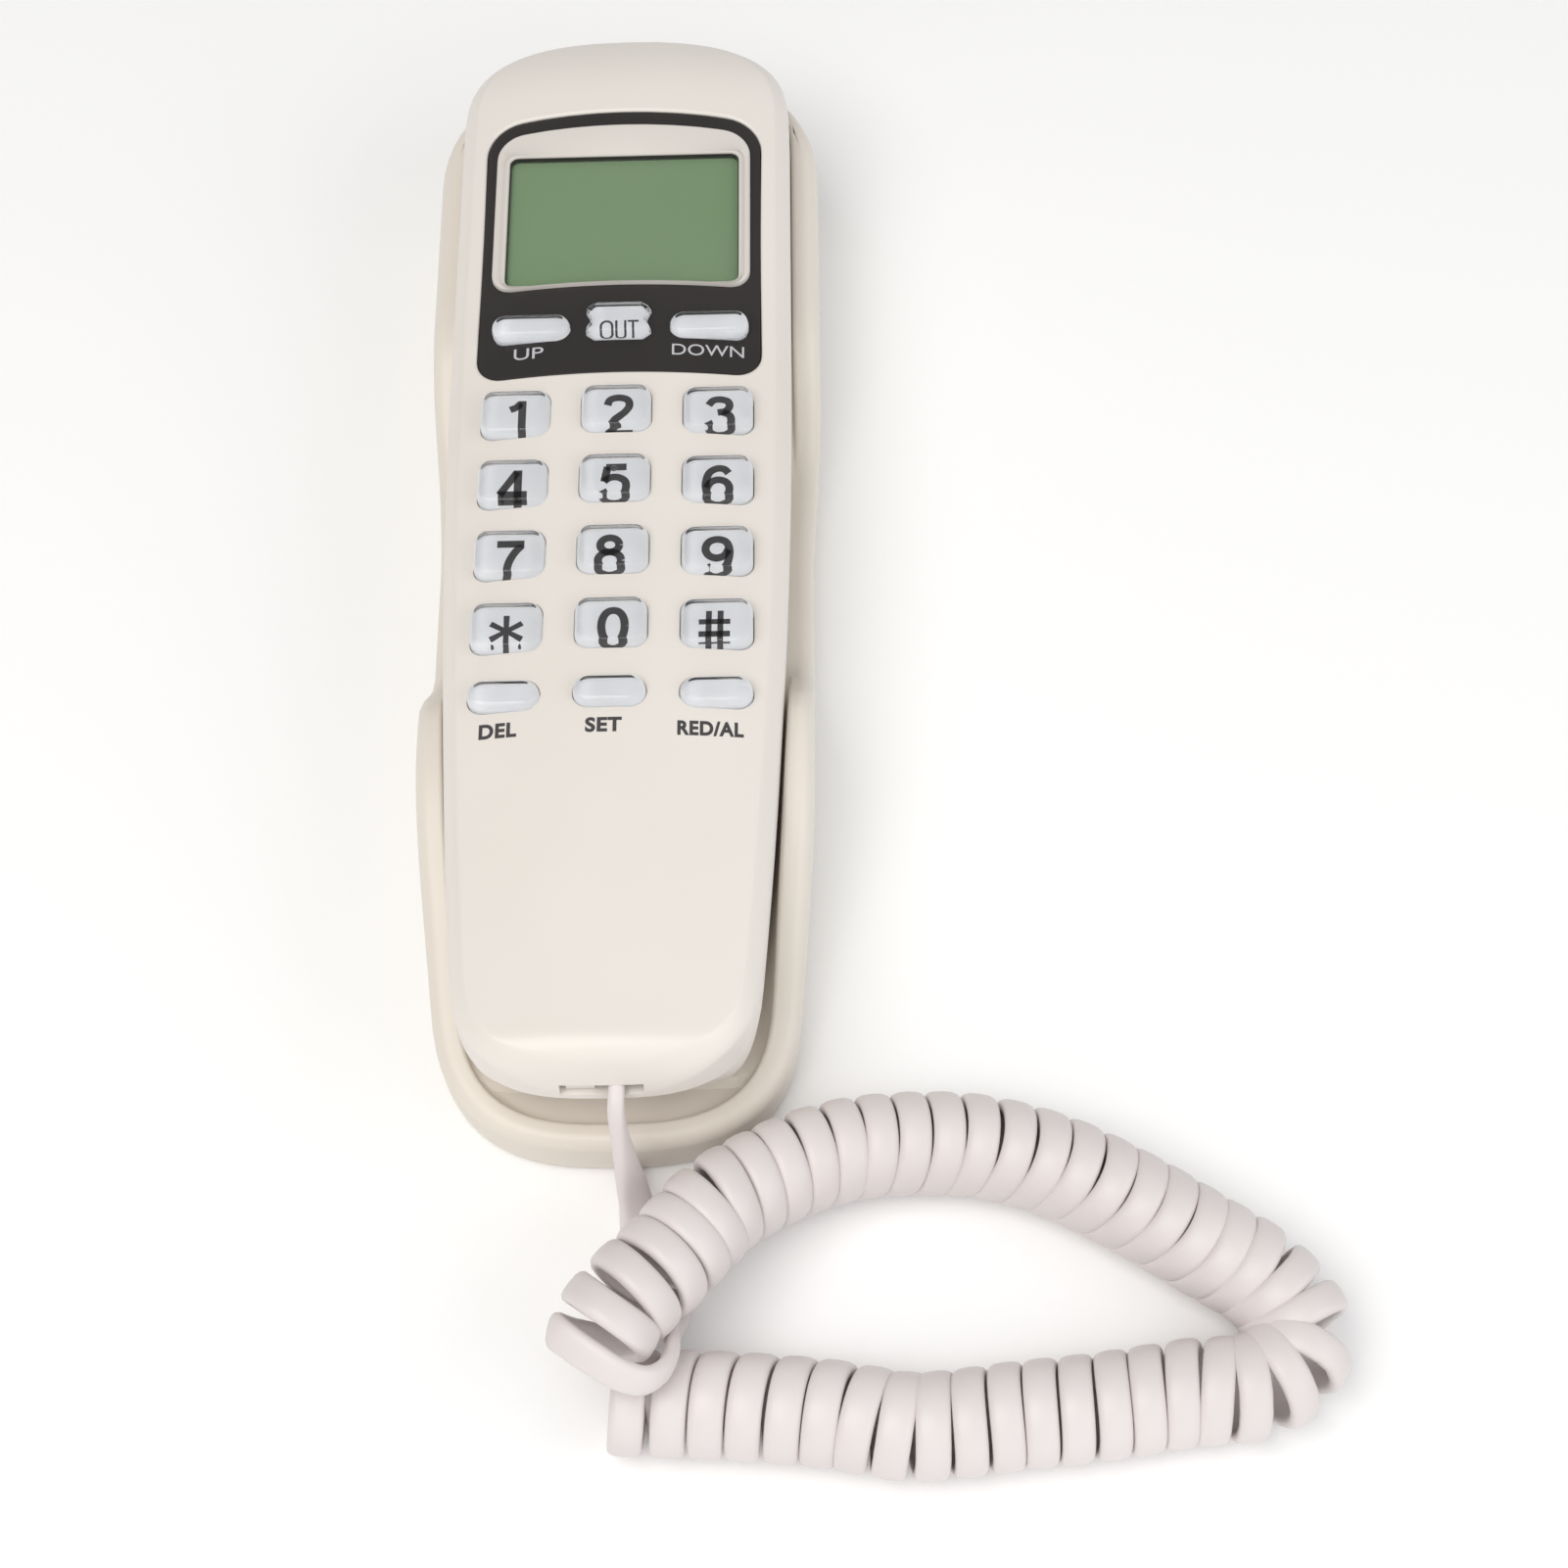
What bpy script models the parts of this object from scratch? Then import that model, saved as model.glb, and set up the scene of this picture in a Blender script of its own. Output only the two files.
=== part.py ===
"""Slimline wall telephone: a handset with keypad and display, lying in its cradle, and its curly cord.

The phone lies on its back. +Z points out of the keypad, +Y towards the earpiece end and +X to the right
of somebody reading the keys. The origin is the middle of the cradle's footprint, on the surface that the
phone lies on. Every size below is in millimetres; the solids are made in metres.
"""

import math

import bmesh
import bpy
from mathutils import Matrix, Vector

MM = 0.001
GAP = 0.3  # between pieces that touch

# Handset
HANDSET_TOP_Y = 103.4
HANDSET_BOTTOM_Y = -103.3
HANDSET_HALF_WIDTH = 29.1
TAPER_START_Y = 32.0
TAPER = 3.66e-4  # narrowing below TAPER_START_Y, per mm squared
TOP_ROUNDING = (80.0, 2.9)  # where the end starts to round, and the power of its curve
BOTTOM_ROUNDING = (-85.0, 2.9)
CROWN_Z = 38.2  # the face along its middle
CROWN_RADIUS = 125.0
BEVEL = 2.1
PARTING_Z = 27.0
SHELL = 2.0
TOP_NOSE = (86.0, 5.0)  # where the face starts to fall towards the end, and by how much
BOTTOM_NOSE = (-97.0, 9.0)
TOP_TUCK = (97.0, 104.5, 14.0)  # where the back starts and stops to rise at an end, and by how much
BOTTOM_TUCK = (-93.6, -102.6, 15.2)
EAR_Z = 8.2  # undersides of the three stretches of the handset's back
WAIST_Z = 16.0
MOUTH_Z = 11.0

# Cradle
CRADLE_TOP_Y = 106.2
CRADLE_BOTTOM_Y = -104.7
CRADLE_TOP_ROUNDING = (77.0, 2.2)
CRADLE_BOTTOM_ROUNDING = (-80.0, 2.6)
EAR_RIM_Z = 25.5
WAIST_RIM_Z = 13.5
CHEEK_RIM_Z = 28.5
CHIN_RIM_Z = 11.0
POCKET_BOTTOM_Y = -100.3
POCKET_RECESS = (-92.6, -94.2, 1.4)  # the deeper end, where the cord leaves
CRADLE_FLOOR = 2.0
CRADLE_WALL = 3.2
PLATE = 2.4

# Keys
COLUMN_PITCH = 17.0
ROW_PITCH = 14.0
FIRST_ROW_Y = 16.75
FUNCTION_ROW_Y = -38.0
MENU_ROW_Y = 34.5
DIGIT_KEY = (11.7, 8.9, 2.3)  # width, length and corner radius
FUNCTION_KEY = (11.7, 5.4, 2.65)
MENU_KEY = (13.4, 4.9, 2.4)
OUT_KEY = (11.3, 6.9)
OUT_WAIST = 0.9
FLANGE = 0.9  # how far a key's flange reaches past its cap
FLANGE_Z = (31.6, 32.8)
KEY_RISE = 2.8  # a cap above the face

# Display
OVERLAY = dict(half_width=24.0, bottom=24.9, top=81.6, arch=1.6, corner_top=6.5, corner_bottom=4.0)
BEZEL = dict(half_width=22.3, bottom=42.8, top=78.1, arch=1.2, corner_top=5.0, corner_bottom=3.6)
GLASS_OPENING = (40.2, 28.4, 1.5)
GLASS_Y = 57.6
OVERLAY_THICKNESS = 0.9
BEZEL_RISE = 0.8
WINDOW_DEPTH = (1.2, 1.6)  # below the face
LCD_DEPTH = (1.9, 3.2)

# Handset end: slot, jack and ringer switch
SLOT = ((-6.8, 6.0), (28.5, 31.0))  # across, and up
PLUG_X = 2.2
KNOB_X = -3.7
MICROPHONE_Y = -80.0
RECEIVER_Y = 78.0

# Cradle inside
NOTCH_X = 2.7
PLUNGER_Y = 8.0
KEYHOLES_Y = (62.0, -21.0)

# Cord
COIL_RADIUS = 8.2
LEAD_RADIUS = 1.2
COIL_ROUTE = (
    (-0.8, -141.1, 24.2), (0.9, -137.2, 23.4), (4.2, -132.4, 22.0), (8.3, -127.4, 20.0), (12.5, -121.7, 17.6),
    (16.2, -116.6, 15.2), (20.6, -112.6, 12.7), (27.8, -108.1, 10.6), (34.7, -105.3, 9.2), (41.6, -104.0, 8.5),
    (55.4, -104.1, 8.3), (68.1, -107.6, 8.3), (79.8, -113.8, 8.3), (90.3, -120.7, 8.3), (100.2, -127.9, 8.3),
    (104.7, -136.4, 8.3), (98.6, -143.2, 8.3), (86.9, -144.7, 8.3), (74.5, -146.5, 8.3), (62.2, -147.7, 8.3),
    (45.7, -149.2, 8.3), (34.1, -147.2, 8.3), (20.9, -145.8, 8.3), (8.5, -145.1, 8.3), (0.8, -144.9, 8.3),
)
HANDSET_LEAD = (
    (1.9, -101.4, 29.8), (1.8, -103.8, 29.6), (1.7, -105.8, 28.2), (1.9, -107.6, 25.2), (2.3, -109.4, 21.2),
    (2.8, -111.2, 16.9), (3.3, -112.8, 13.0),
)
TABLE_LEAD = (
    (3.5, -113.0, 12.6), (3.9, -114.6, 9.2), (4.9, -116.4, 6.0), (6.4, -118.9, 3.4), (8.2, -122.5, 2.0),
    (9.6, -126.5, 1.6), (10.5, -129.6, 2.2),
)
BASE_LEAD = (
    (2.0, -136.2, 1.5), (2.1, -129.0, 1.5), (2.3, -121.0, 1.5), (2.5, -113.0, 1.6), (2.7, -106.0, 2.2),
    (2.7, -101.0, 3.9), (2.7, -96.6, 5.1),
)

COLOURS = dict(
    shell=(0.80, 0.76, 0.70), cradle=(0.76, 0.72, 0.65), overlay=(0.035, 0.032, 0.03),
    clear=(0.80, 0.82, 0.84), lcd=(0.20, 0.33, 0.18), board=(0.05, 0.22, 0.10), rubber=(0.28, 0.28, 0.30),
    black=(0.02, 0.02, 0.02), metal=(0.62, 0.62, 0.60), cord=(0.82, 0.78, 0.76),
)


def smooth(value, start, end):
    """0 before start, 1 after end, and a soft step between."""
    t = min(1.0, max(0.0, (value - start) / (end - start)))
    return t * t * (3 - 2 * t)


def rounded_end(y, start, end, power):
    """The share of the width that is left at y, where an end rounds off from start to end."""
    t = min(1.0, max(0.0, (y - start) / (end - start)))
    return (1 - t**power) ** (1 / power)


def handset_half_width(y, inset=0.0, bottom=HANDSET_BOTTOM_Y):
    body = HANDSET_HALF_WIDTH - TAPER * max(0.0, TAPER_START_Y - y) ** 2 - inset
    top = rounded_end(y, TOP_ROUNDING[0], HANDSET_TOP_Y - inset, TOP_ROUNDING[1])
    return body * top * rounded_end(y, BOTTOM_ROUNDING[0], bottom + inset, BOTTOM_ROUNDING[1])


def cradle_half_width(y, inset=0.0):
    ear = 33.9 - 1.7 * smooth(y, 35.0, 0.0)
    body = ear - 3.3 * smooth(y, -40.0, -100.0) - inset
    top = rounded_end(y, CRADLE_TOP_ROUNDING[0], CRADLE_TOP_Y - inset, CRADLE_TOP_ROUNDING[1])
    bottom = rounded_end(y, CRADLE_BOTTOM_ROUNDING[0], CRADLE_BOTTOM_Y + inset, CRADLE_BOTTOM_ROUNDING[1])
    return body * top * bottom


def crown_z(x):
    return CROWN_Z - x * x / (2 * CROWN_RADIUS)


def nose_drop(y):
    """How far the face has fallen at y, towards either end of the handset."""
    top = max(0.0, y - TOP_NOSE[0]) / (HANDSET_TOP_Y - TOP_NOSE[0])
    bottom = min(1.0, max(0.0, BOTTOM_NOSE[0] - y) / (BOTTOM_NOSE[0] - HANDSET_BOTTOM_Y))
    return TOP_NOSE[1] * top**2 + BOTTOM_NOSE[1] * (1 - math.sqrt(max(0.0, 1 - bottom**2)))


def back_z(y):
    """The three stretches of the handset's back: earpiece, waist and mouthpiece."""
    z = WAIST_Z + (EAR_Z - WAIST_Z) * smooth(y, 38.0, 50.0) + (MOUTH_Z - WAIST_Z) * smooth(y, -45.0, -58.0)
    return z + TOP_TUCK[2] * smooth(y, TOP_TUCK[0], TOP_TUCK[1])


def underside_z(y):
    """The handset's back, which tucks up under the front shell at the end where the cord leaves."""
    return back_z(y) + BOTTOM_TUCK[2] * smooth(y, BOTTOM_TUCK[0], BOTTOM_TUCK[1])


def pocket_floor_z(y):
    return back_z(y) - POCKET_RECESS[2] * smooth(y, POCKET_RECESS[0], POCKET_RECESS[1])


def rim_z(y):
    ears = WAIST_RIM_Z + (EAR_RIM_Z - WAIST_RIM_Z) * smooth(y, 17.0, 45.0)
    cheeks = (CHEEK_RIM_Z - WAIST_RIM_Z) * smooth(y, -19.0, -36.0)
    return ears + cheeks - (CHEEK_RIM_Z - CHIN_RIM_Z) * smooth(y, -42.0, -100.0)


def stations(bottom, top, bottom_round, top_round, count):
    """Places along Y for a loft: close together where the ends round off."""
    near = (0.2, 0.42, 0.6, 0.74, 0.85, 0.93, 0.98)
    low = [bottom_round + (bottom - bottom_round) * t for t in reversed(near)]
    high = [top_round + (top - top_round) * t for t in near]
    middle = [bottom_round + (top_round - bottom_round) * i / count for i in range(count + 1)]
    return low + middle + high


def body_stations(inset=0.0, count=14):
    return stations(
        HANDSET_BOTTOM_Y + inset, HANDSET_TOP_Y - inset, BOTTOM_ROUNDING[0], TOP_ROUNDING[0], count
    )


def cradle_stations(inset=0.0):
    return stations(
        CRADLE_BOTTOM_Y + inset, CRADLE_TOP_Y - inset, CRADLE_BOTTOM_ROUNDING[0],
        CRADLE_TOP_ROUNDING[0], 26,
    )


def mirrored(half):
    """A closed section from its right half, listed from the top middle to the bottom middle."""
    return half + [(-x, z) for x, z in reversed(half) if x > 1e-6]


def material(slot, roughness=0.4, metallic=0.0):
    name = f"{slot}_material"
    made = bpy.data.materials.get(name) or bpy.data.materials.new(name)
    made.use_nodes = True
    shader = made.node_tree.nodes["Principled BSDF"]
    shader.inputs["Base Color"].default_value = (*COLOURS[slot], 1)
    shader.inputs["Roughness"].default_value = roughness
    shader.inputs["Metallic"].default_value = metallic
    return made


def add(name, bm, slot=None, parent=None):
    """Turns a bmesh in millimetres into an object in metres, in the phone's or the cutters' collection."""
    bmesh.ops.remove_doubles(bm, verts=bm.verts, dist=1e-4)
    bmesh.ops.recalc_face_normals(bm, faces=bm.faces)
    bmesh.ops.transform(bm, matrix=Matrix.Scale(MM, 4), verts=bm.verts)
    mesh = bpy.data.meshes.new(name)
    bm.to_mesh(mesh)
    bm.free()
    made = bpy.data.objects.new(name, mesh)
    if slot is None:
        cutters.objects.link(made)
        made.hide_render = True
        made.display_type = "WIRE"
    else:
        phone.objects.link(made)
        mesh.materials.append(material(slot, 0.25 if slot in ("metal", "clear") else 0.45, slot == "metal"))
        mesh.shade_smooth()
        mesh.set_sharp_from_angle(angle=math.radians(35))
    if parent is not None:
        made.parent = parent
    return made


def loft(sections):
    """A closed solid through sections that have the same number of points."""
    bm = bmesh.new()
    rings = [[bm.verts.new(p) for p in section] for section in sections]
    for one, two in zip(rings, rings[1:]):
        for i in range(len(one)):
            j = (i + 1) % len(one)
            bm.faces.new((one[i], one[j], two[j], two[i]))
    bm.faces.new(rings[0])
    bm.faces.new(rings[-1])
    return bm


def loft_along_y(half_section, places):
    """half_section(y) lists (x, z) down the right half of the section at y."""
    return loft([[(x, y, z) for x, z in mirrored(half_section(y))] for y in places])


def prism(outline, low, high):
    """A flat outline, extruded from low to high."""
    return loft([[(x, y, z) for x, y in outline] for z in (low, high)])


def rounded_outline(corners, steps=4):
    """A closed outline through (x, y, radius) corners, each rounded with an arc."""
    outline = []
    for i, (x, y, radius) in enumerate(corners):
        here = Vector((x, y))
        before = (Vector(corners[i - 1][:2]) - here).normalized()
        after = (Vector(corners[(i + 1) % len(corners)][:2]) - here).normalized()
        if radius <= 0:
            outline.append((x, y))
            continue
        half = before.angle(after) / 2
        centre = here + (before + after).normalized() * radius / math.sin(half)
        start = here + before * radius / math.tan(half) - centre
        turn = start.angle_signed(here + after * radius / math.tan(half) - centre)
        for k in range(steps + 1):
            angle = -turn * k / steps
            spoke = Matrix.Rotation(angle, 2) @ start
            outline.append((centre.x + spoke.x, centre.y + spoke.y))
    return outline


def rectangle(width, length, radius, centre=(0.0, 0.0), grow=0.0, steps=3):
    w, h = width / 2 + grow, length / 2 + grow
    x, y = centre
    r = max(radius + grow, 0.05)
    r = min(r, w - 0.01, h - 0.01)
    return rounded_outline(
        [(x - w, y - h, r), (x + w, y - h, r), (x + w, y + h, r), (x - w, y + h, r)], steps
    )


def arched(shape, grow=0.0):
    """The outline of the display panel: straight sides, rounded corners and a top that arches."""
    w, low, high = shape["half_width"] + grow, shape["bottom"] - grow, shape["top"] + grow
    shoulder = high - shape["arch"]
    top, bottom = shape["corner_top"] + grow, shape["corner_bottom"] + grow
    corners = [(-w, low, bottom), (w, low, bottom), (w, shoulder, top)]
    corners += [(w * f, high - shape["arch"] * f * f, 0) for f in (0.45, 0.0, -0.45)]
    return rounded_outline([*corners, (-w, shoulder, top)], 5)


def out_key_outline(grow=0.0, steps=4):
    """The middle menu key is waisted, like a spool."""
    w, h = OUT_KEY[0] / 2 + grow, OUT_KEY[1] / 2 + grow
    heights = [2 * k / steps - 1 for k in range(steps + 1)]
    side = [(w - OUT_WAIST * (1 - t * t), t * h * 0.62) for t in heights]
    right = [(w * 0.72, -h), *side, (w * 0.72, h)]
    return [(x, y + MENU_ROW_Y + 0.6) for x, y in right + [(-x, -y) for x, y in right]]


def circle(radius, centre, segments):
    turns = [math.tau * (i + 0.5) / segments for i in range(segments)]
    return [(centre[0] + radius * math.cos(a), centre[1] + radius * math.sin(a)) for a in turns]


def cylinder(radius, low, high, centre=(0.0, 0.0), segments=24):
    return prism(circle(radius, centre, segments), low, high)


def box(x, y, z):
    bm = bmesh.new()
    size = [Vector((b - a, 0, 0)).length for a, b in (x, y, z)]
    bmesh.ops.create_cube(bm, size=1)
    middle = Vector([(a + b) / 2 for a, b in (x, y, z)])
    bmesh.ops.transform(bm, matrix=Matrix.Translation(middle) @ Matrix.Diagonal((*size, 1)), verts=bm.verts)
    return bm


def combine(target, other, operation="DIFFERENCE"):
    """A Boolean of target with another object, kept on target as a modifier."""
    modifier = target.modifiers.new(f"{operation.lower()}_{other.name}", "BOOLEAN")
    modifier.operation = operation
    modifier.object = other
    modifier.solver = "EXACT"


def cut(target, name, *solids):
    """Cuts several separate solids out of target, as one cutter."""
    joined = bmesh.new()
    for solid in solids:
        mesh = bpy.data.meshes.new("piece_of_cutter")
        solid.to_mesh(mesh)
        solid.free()
        joined.from_mesh(mesh)
        bpy.data.meshes.remove(mesh)
    cutter = add(f"cutter_{name}", joined)
    combine(target, cutter)
    return cutter


def face_slab(over, under, half_width=36.0, steps=24):
    """The layer of the crowned face between two heights above it."""
    xs = [half_width * (2 * i / steps - 1) for i in range(steps + 1)]
    ring = [(x, crown_z(x) + over) for x in xs] + [(x, crown_z(x) + under) for x in reversed(xs)]
    return loft([[(x, y, z) for x, z in ring] for y in (-120.0, 120.0)])


def crowned(name, outline, over, under, slot, parent):
    """A thin plate with a flat outline that follows the crown of the face."""
    plate = add(name, prism(outline, 25.0, 45.0), slot, parent)
    combine(plate, add(f"guide_{name}", face_slab(over, under)), "INTERSECT")
    return plate


# ---------------------------------------------------------------- handset


def front_section(inset):
    def section(y):
        w, top = handset_half_width(y, inset), -nose_drop(y) - inset
        flat = max(w - BEVEL, w * 0.55)
        fan = [(flat * f, crown_z(flat * f) + top) for f in (0.0, 0.25, 0.5, 0.75, 1.0)]
        bevel_z = max(crown_z(flat) + top - BEVEL, PARTING_Z + 0.6)
        floor = PARTING_Z if inset == 0 else PARTING_Z - 4
        return fan + [(w, bevel_z), (w, floor), (0.0, floor)]

    return section


def back_section(inset, roof, floor=underside_z, bottom=HANDSET_BOTTOM_Y):
    """The handset's back below the parting line; inset is negative for the cradle's pocket."""

    def section(y):
        w, low = handset_half_width(y, 0.3 + inset, bottom), floor(y) + inset
        low = min(low, PARTING_Z - GAP - 1.0 + 0.35 * inset)
        deep = PARTING_Z - low
        lean = min(deep, w)
        return [
            (0.0, roof), (w, roof), (w, PARTING_Z - GAP), (w - 0.05 * lean, low + 0.55 * deep),
            (w - 0.13 * lean, low + 0.22 * deep), (w * 0.80, low + 0.04 * deep), (w * 0.6, low), (0.0, low),
        ]

    return section


def key_layout():
    """Every key: its name, outline function and middle."""
    keys = []
    names = ("1", "2", "3", "4", "5", "6", "7", "8", "9", "star", "0", "hash")
    for i, name in enumerate(names):
        keys.append((name, DIGIT_KEY, ((i % 3 - 1) * COLUMN_PITCH, FIRST_ROW_Y - i // 3 * ROW_PITCH)))
    for i, name in enumerate(("del", "set", "redial")):
        keys.append((name, FUNCTION_KEY, ((i - 1) * COLUMN_PITCH, FUNCTION_ROW_Y)))
    keys.append(("up", MENU_KEY, (-15.0, MENU_ROW_Y)))
    keys.append(("down", MENU_KEY, (15.4, MENU_ROW_Y)))
    keys.append(("out", None, (0.0, MENU_ROW_Y + 0.2)))
    return keys


def key_outline(shape, centre, grow=0.0):
    return out_key_outline(grow) if shape is None else rectangle(*shape, centre, grow)


def make_key(name, shape, centre, parent):
    top = crown_z(centre[0]) + KEY_RISE
    flange = [(x, y) for x, y in key_outline(shape, centre, FLANGE)]
    levels = [
        (flange, FLANGE_Z[0]), (flange, FLANGE_Z[1]), (key_outline(shape, centre), FLANGE_Z[1]),
        (key_outline(shape, centre), top - 0.9), (key_outline(shape, centre, -0.45), top - 0.2),
        (key_outline(shape, centre, -1.2), top),
    ]
    return add(f"key_{name}", loft([[(x, y, z) for x, y in line] for line, z in levels]), "clear", parent)


def make_front_shell(parent):
    shell = add("handset_front_shell", loft_along_y(front_section(0.0), body_stations()), "shell", parent)
    cut(shell, "front_hollow", loft_along_y(front_section(SHELL), body_stations(SHELL)))
    recess = add("cutter_overlay_recess", prism(arched(OVERLAY, GAP), 25.0, 60.0))
    combine(recess, add("guide_overlay_recess", face_slab(8.0, -OVERLAY_THICKNESS - GAP)), "INTERSECT")
    combine(shell, recess)
    holes = [prism(key_outline(shape, centre, GAP), 30.0, 45.0) for _, shape, centre in key_layout()]
    holes.append(prism(rectangle(*GLASS_OPENING, (0.0, GLASS_Y), 0.6), 30.0, 45.0))
    cut(shell, "face_openings", *holes)
    cut(shell, "front_slot", box(SLOT[0], (-110.0, -100.0), (20.0, SLOT[1][1])))
    return shell


def make_rear_shell(parent):
    body = loft_along_y(back_section(0.0, PARTING_Z - GAP), body_stations(count=28))
    shell = add("handset_rear_shell", body, "shell", parent)
    hollow = loft_along_y(back_section(SHELL, PARTING_Z + 4), body_stations(SHELL, 28))
    cut(shell, "rear_hollow", hollow)
    ear_holes = [*circle(5.0, (0.0, RECEIVER_Y), 6), (0.0, RECEIVER_Y)]
    ports = [cylinder(1.1, 5.0, 12.0, place, 8) for place in ear_holes]
    ports.append(cylinder(0.9, 8.0, 15.0, (0.0, MICROPHONE_Y), 8))
    holes = [cylinder(1.5, 10.0, 22.0, (0.0, y), 16) for y in HANDSET_SCREWS_Y]
    cut(shell, "rear_ports", *ports, *holes)
    cut(shell, "rear_screw_heads", *[cylinder(3.3, 10.0, WAIST_Z + 1.0, (0.0, y), 16) for y in HANDSET_SCREWS_Y])
    return shell


HANDSET_SCREWS_Y = (33.0, -42.0)


def make_display(parent):
    overlay = crowned("display_overlay", arched(OVERLAY), -0.1, -OVERLAY_THICKNESS, "overlay", parent)
    holes = [
        prism(key_outline(shape, centre, GAP), 30.0, 45.0)
        for name, shape, centre in key_layout() if name in ("up", "down", "out")
    ]
    cut(overlay, "overlay_openings", *holes, prism(arched(BEZEL, GAP), 30.0, 45.0))
    bezel = crowned("display_bezel", arched(BEZEL), BEZEL_RISE, -OVERLAY_THICKNESS, "shell", parent)
    cut(bezel, "bezel_opening", prism(rectangle(*GLASS_OPENING, (0.0, GLASS_Y)), 30.0, 45.0))
    in_opening = rectangle(*GLASS_OPENING, (0.0, GLASS_Y), GAP)
    crowned("display_window", in_opening, -WINDOW_DEPTH[0], -WINDOW_DEPTH[1], "clear", parent)
    crowned("lcd_panel", in_opening, -LCD_DEPTH[0], -LCD_DEPTH[1], "lcd", parent)


def make_handset_inside(parent):
    board = add("main_board", box((-21.0, 21.0), (-46.0, 94.0), (26.0, 27.6)), "board", parent)
    cut(board, "board_screw_holes", *[cylinder(1.8, 20.0, 30.0, (0.0, y), 12) for y in HANDSET_SCREWS_Y])
    add("keypad_mat", box((-23.0, 23.0), (-43.0, 39.0), (29.2, 30.3)), "rubber", parent)
    add("receiver_capsule", cylinder(14.0, 10.6, 16.6, (0.0, RECEIVER_Y), 28), "black", parent)
    add("microphone_capsule", cylinder(4.8, 13.4, 18.4, (0.0, MICROPHONE_Y), 20), "metal", parent)
    add("ringer_disc", cylinder(11.0, 19.0, 21.0, (0.0, 12.0), 24), "metal", parent)
    add("ballast_weight", box((-14.0, 14.0), (-36.0, -6.0), (18.4, 23.4)), "metal", parent)
    for name, y in zip(("upper", "lower"), HANDSET_SCREWS_Y):
        levels = ((2.9, WAIST_Z - 0.5 + 0.9), (2.9, WAIST_Z + 0.7), (1.2, WAIST_Z + 0.7), (1.2, 25.0))
        add(f"handset_screw_{name}", turned(levels, (0.0, y)), "metal", parent)


def turned(levels, centre, segments=16):
    """A turned solid from (radius, z) levels, listed from the bottom up."""
    return loft([[(x, y, z) for x, y in circle(r, centre, segments)] for r, z in levels])


def make_handset_end(parent):
    jack = add("handset_jack", box((PLUG_X - 3.6, PLUG_X + 3.6), (-98.6, -87.0), (27.1, 32.5)), "black", parent)
    cut(jack, "handset_jack_socket", box((PLUG_X - 3.1, PLUG_X + 3.1), (-105.0, -90.0), (28.2, 31.4)))
    add("handset_plug", box((PLUG_X - 2.8, PLUG_X + 2.8), (-101.0, -90.4), (28.6, 31.0)), "clear", parent)
    add("ringer_switch_body", box((KNOB_X - 3.6, KNOB_X + 1.9), (-98.6, -92.6), (27.5, 32.3)), "metal", parent)
    add("ringer_switch_knob", box((KNOB_X - 2.2, KNOB_X + 2.2), (-102.2, -98.9), (28.8, 30.8)), "shell", parent)


# ---------------------------------------------------------------- cradle


def cradle_section(y):
    w, rim = cradle_half_width(y), rim_z(y)
    soft = min(1.0, w / 12.0)
    return [
        (0.0, rim), (max(w - 2.4, 0.5 * w), rim), (w - 0.7 * soft, rim - 0.5), (w, rim - 1.8),
        (w, 0.4 * rim), (w - 1.0 * soft, 0.0), (0.0, 0.0),
    ]


def pocket_section(y):
    """The hollow that takes the handset, wider along the cheeks, where the shell's own wall goes in."""
    clear = 0.1 + 0.5 * smooth(y, -20.0, -36.0)
    return back_section(-0.3 - clear, 60.0, pocket_floor_z, POCKET_BOTTOM_Y + clear)(y)


def hollow_section(y):
    w = cradle_half_width(y, CRADLE_WALL)
    roof = min(pocket_floor_z(y) - 0.5, rim_z(y)) - CRADLE_FLOOR
    return [(0.0, roof), (w, roof), (w, -4.0), (0.0, -4.0)]


def pocket_stations():
    return stations(POCKET_BOTTOM_Y, HANDSET_TOP_Y + 0.4, BOTTOM_ROUNDING[0], TOP_ROUNDING[0], 28)


def make_cradle(parent):
    shell = add("cradle_shell", loft_along_y(cradle_section, cradle_stations()), "cradle", parent)
    cut(shell, "cradle_hollow", loft_along_y(hollow_section, cradle_stations(CRADLE_WALL)))
    for name, (x, y, roof) in BASE_SCREWS.items():
        boss = add(f"guide_boss_{name}", cylinder(3.4, PLATE + GAP, roof, (x, y), 16))
        combine(shell, boss, "UNION")
    cut(shell, "pocket", loft_along_y(pocket_section, pocket_stations()))
    holes = [cylinder(1.5, -1.0, roof - 2.4, (x, y), 12) for x, y, roof in BASE_SCREWS.values()]
    cut(shell, "boss_holes", *holes)
    cut(shell, "plunger_hole", cylinder(3.0, 5.0, 20.0, (0.0, PLUNGER_Y), 20))
    cut(shell, "cord_notch", box((NOTCH_X - 1.8, NOTCH_X + 1.8), (-115.0, -100.0), (-2.0, 6.0)))


BASE_SCREWS = {"upper": (0.0, 31.0, 14.6), "lower": (-14.0, -70.0, 9.4)}


def keyhole(y):
    """A keyhole for a wall screw: a round entry and a narrow slot above it."""
    arc = [(4.2 * math.sin(a), y + 4.2 * math.cos(a)) for a in [math.radians(30 + 30 * i) for i in range(11)]]
    return prism([(2.1, y + 11.0), *arc, (-2.1, y + 11.0)], -2.0, 4.0)


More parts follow.
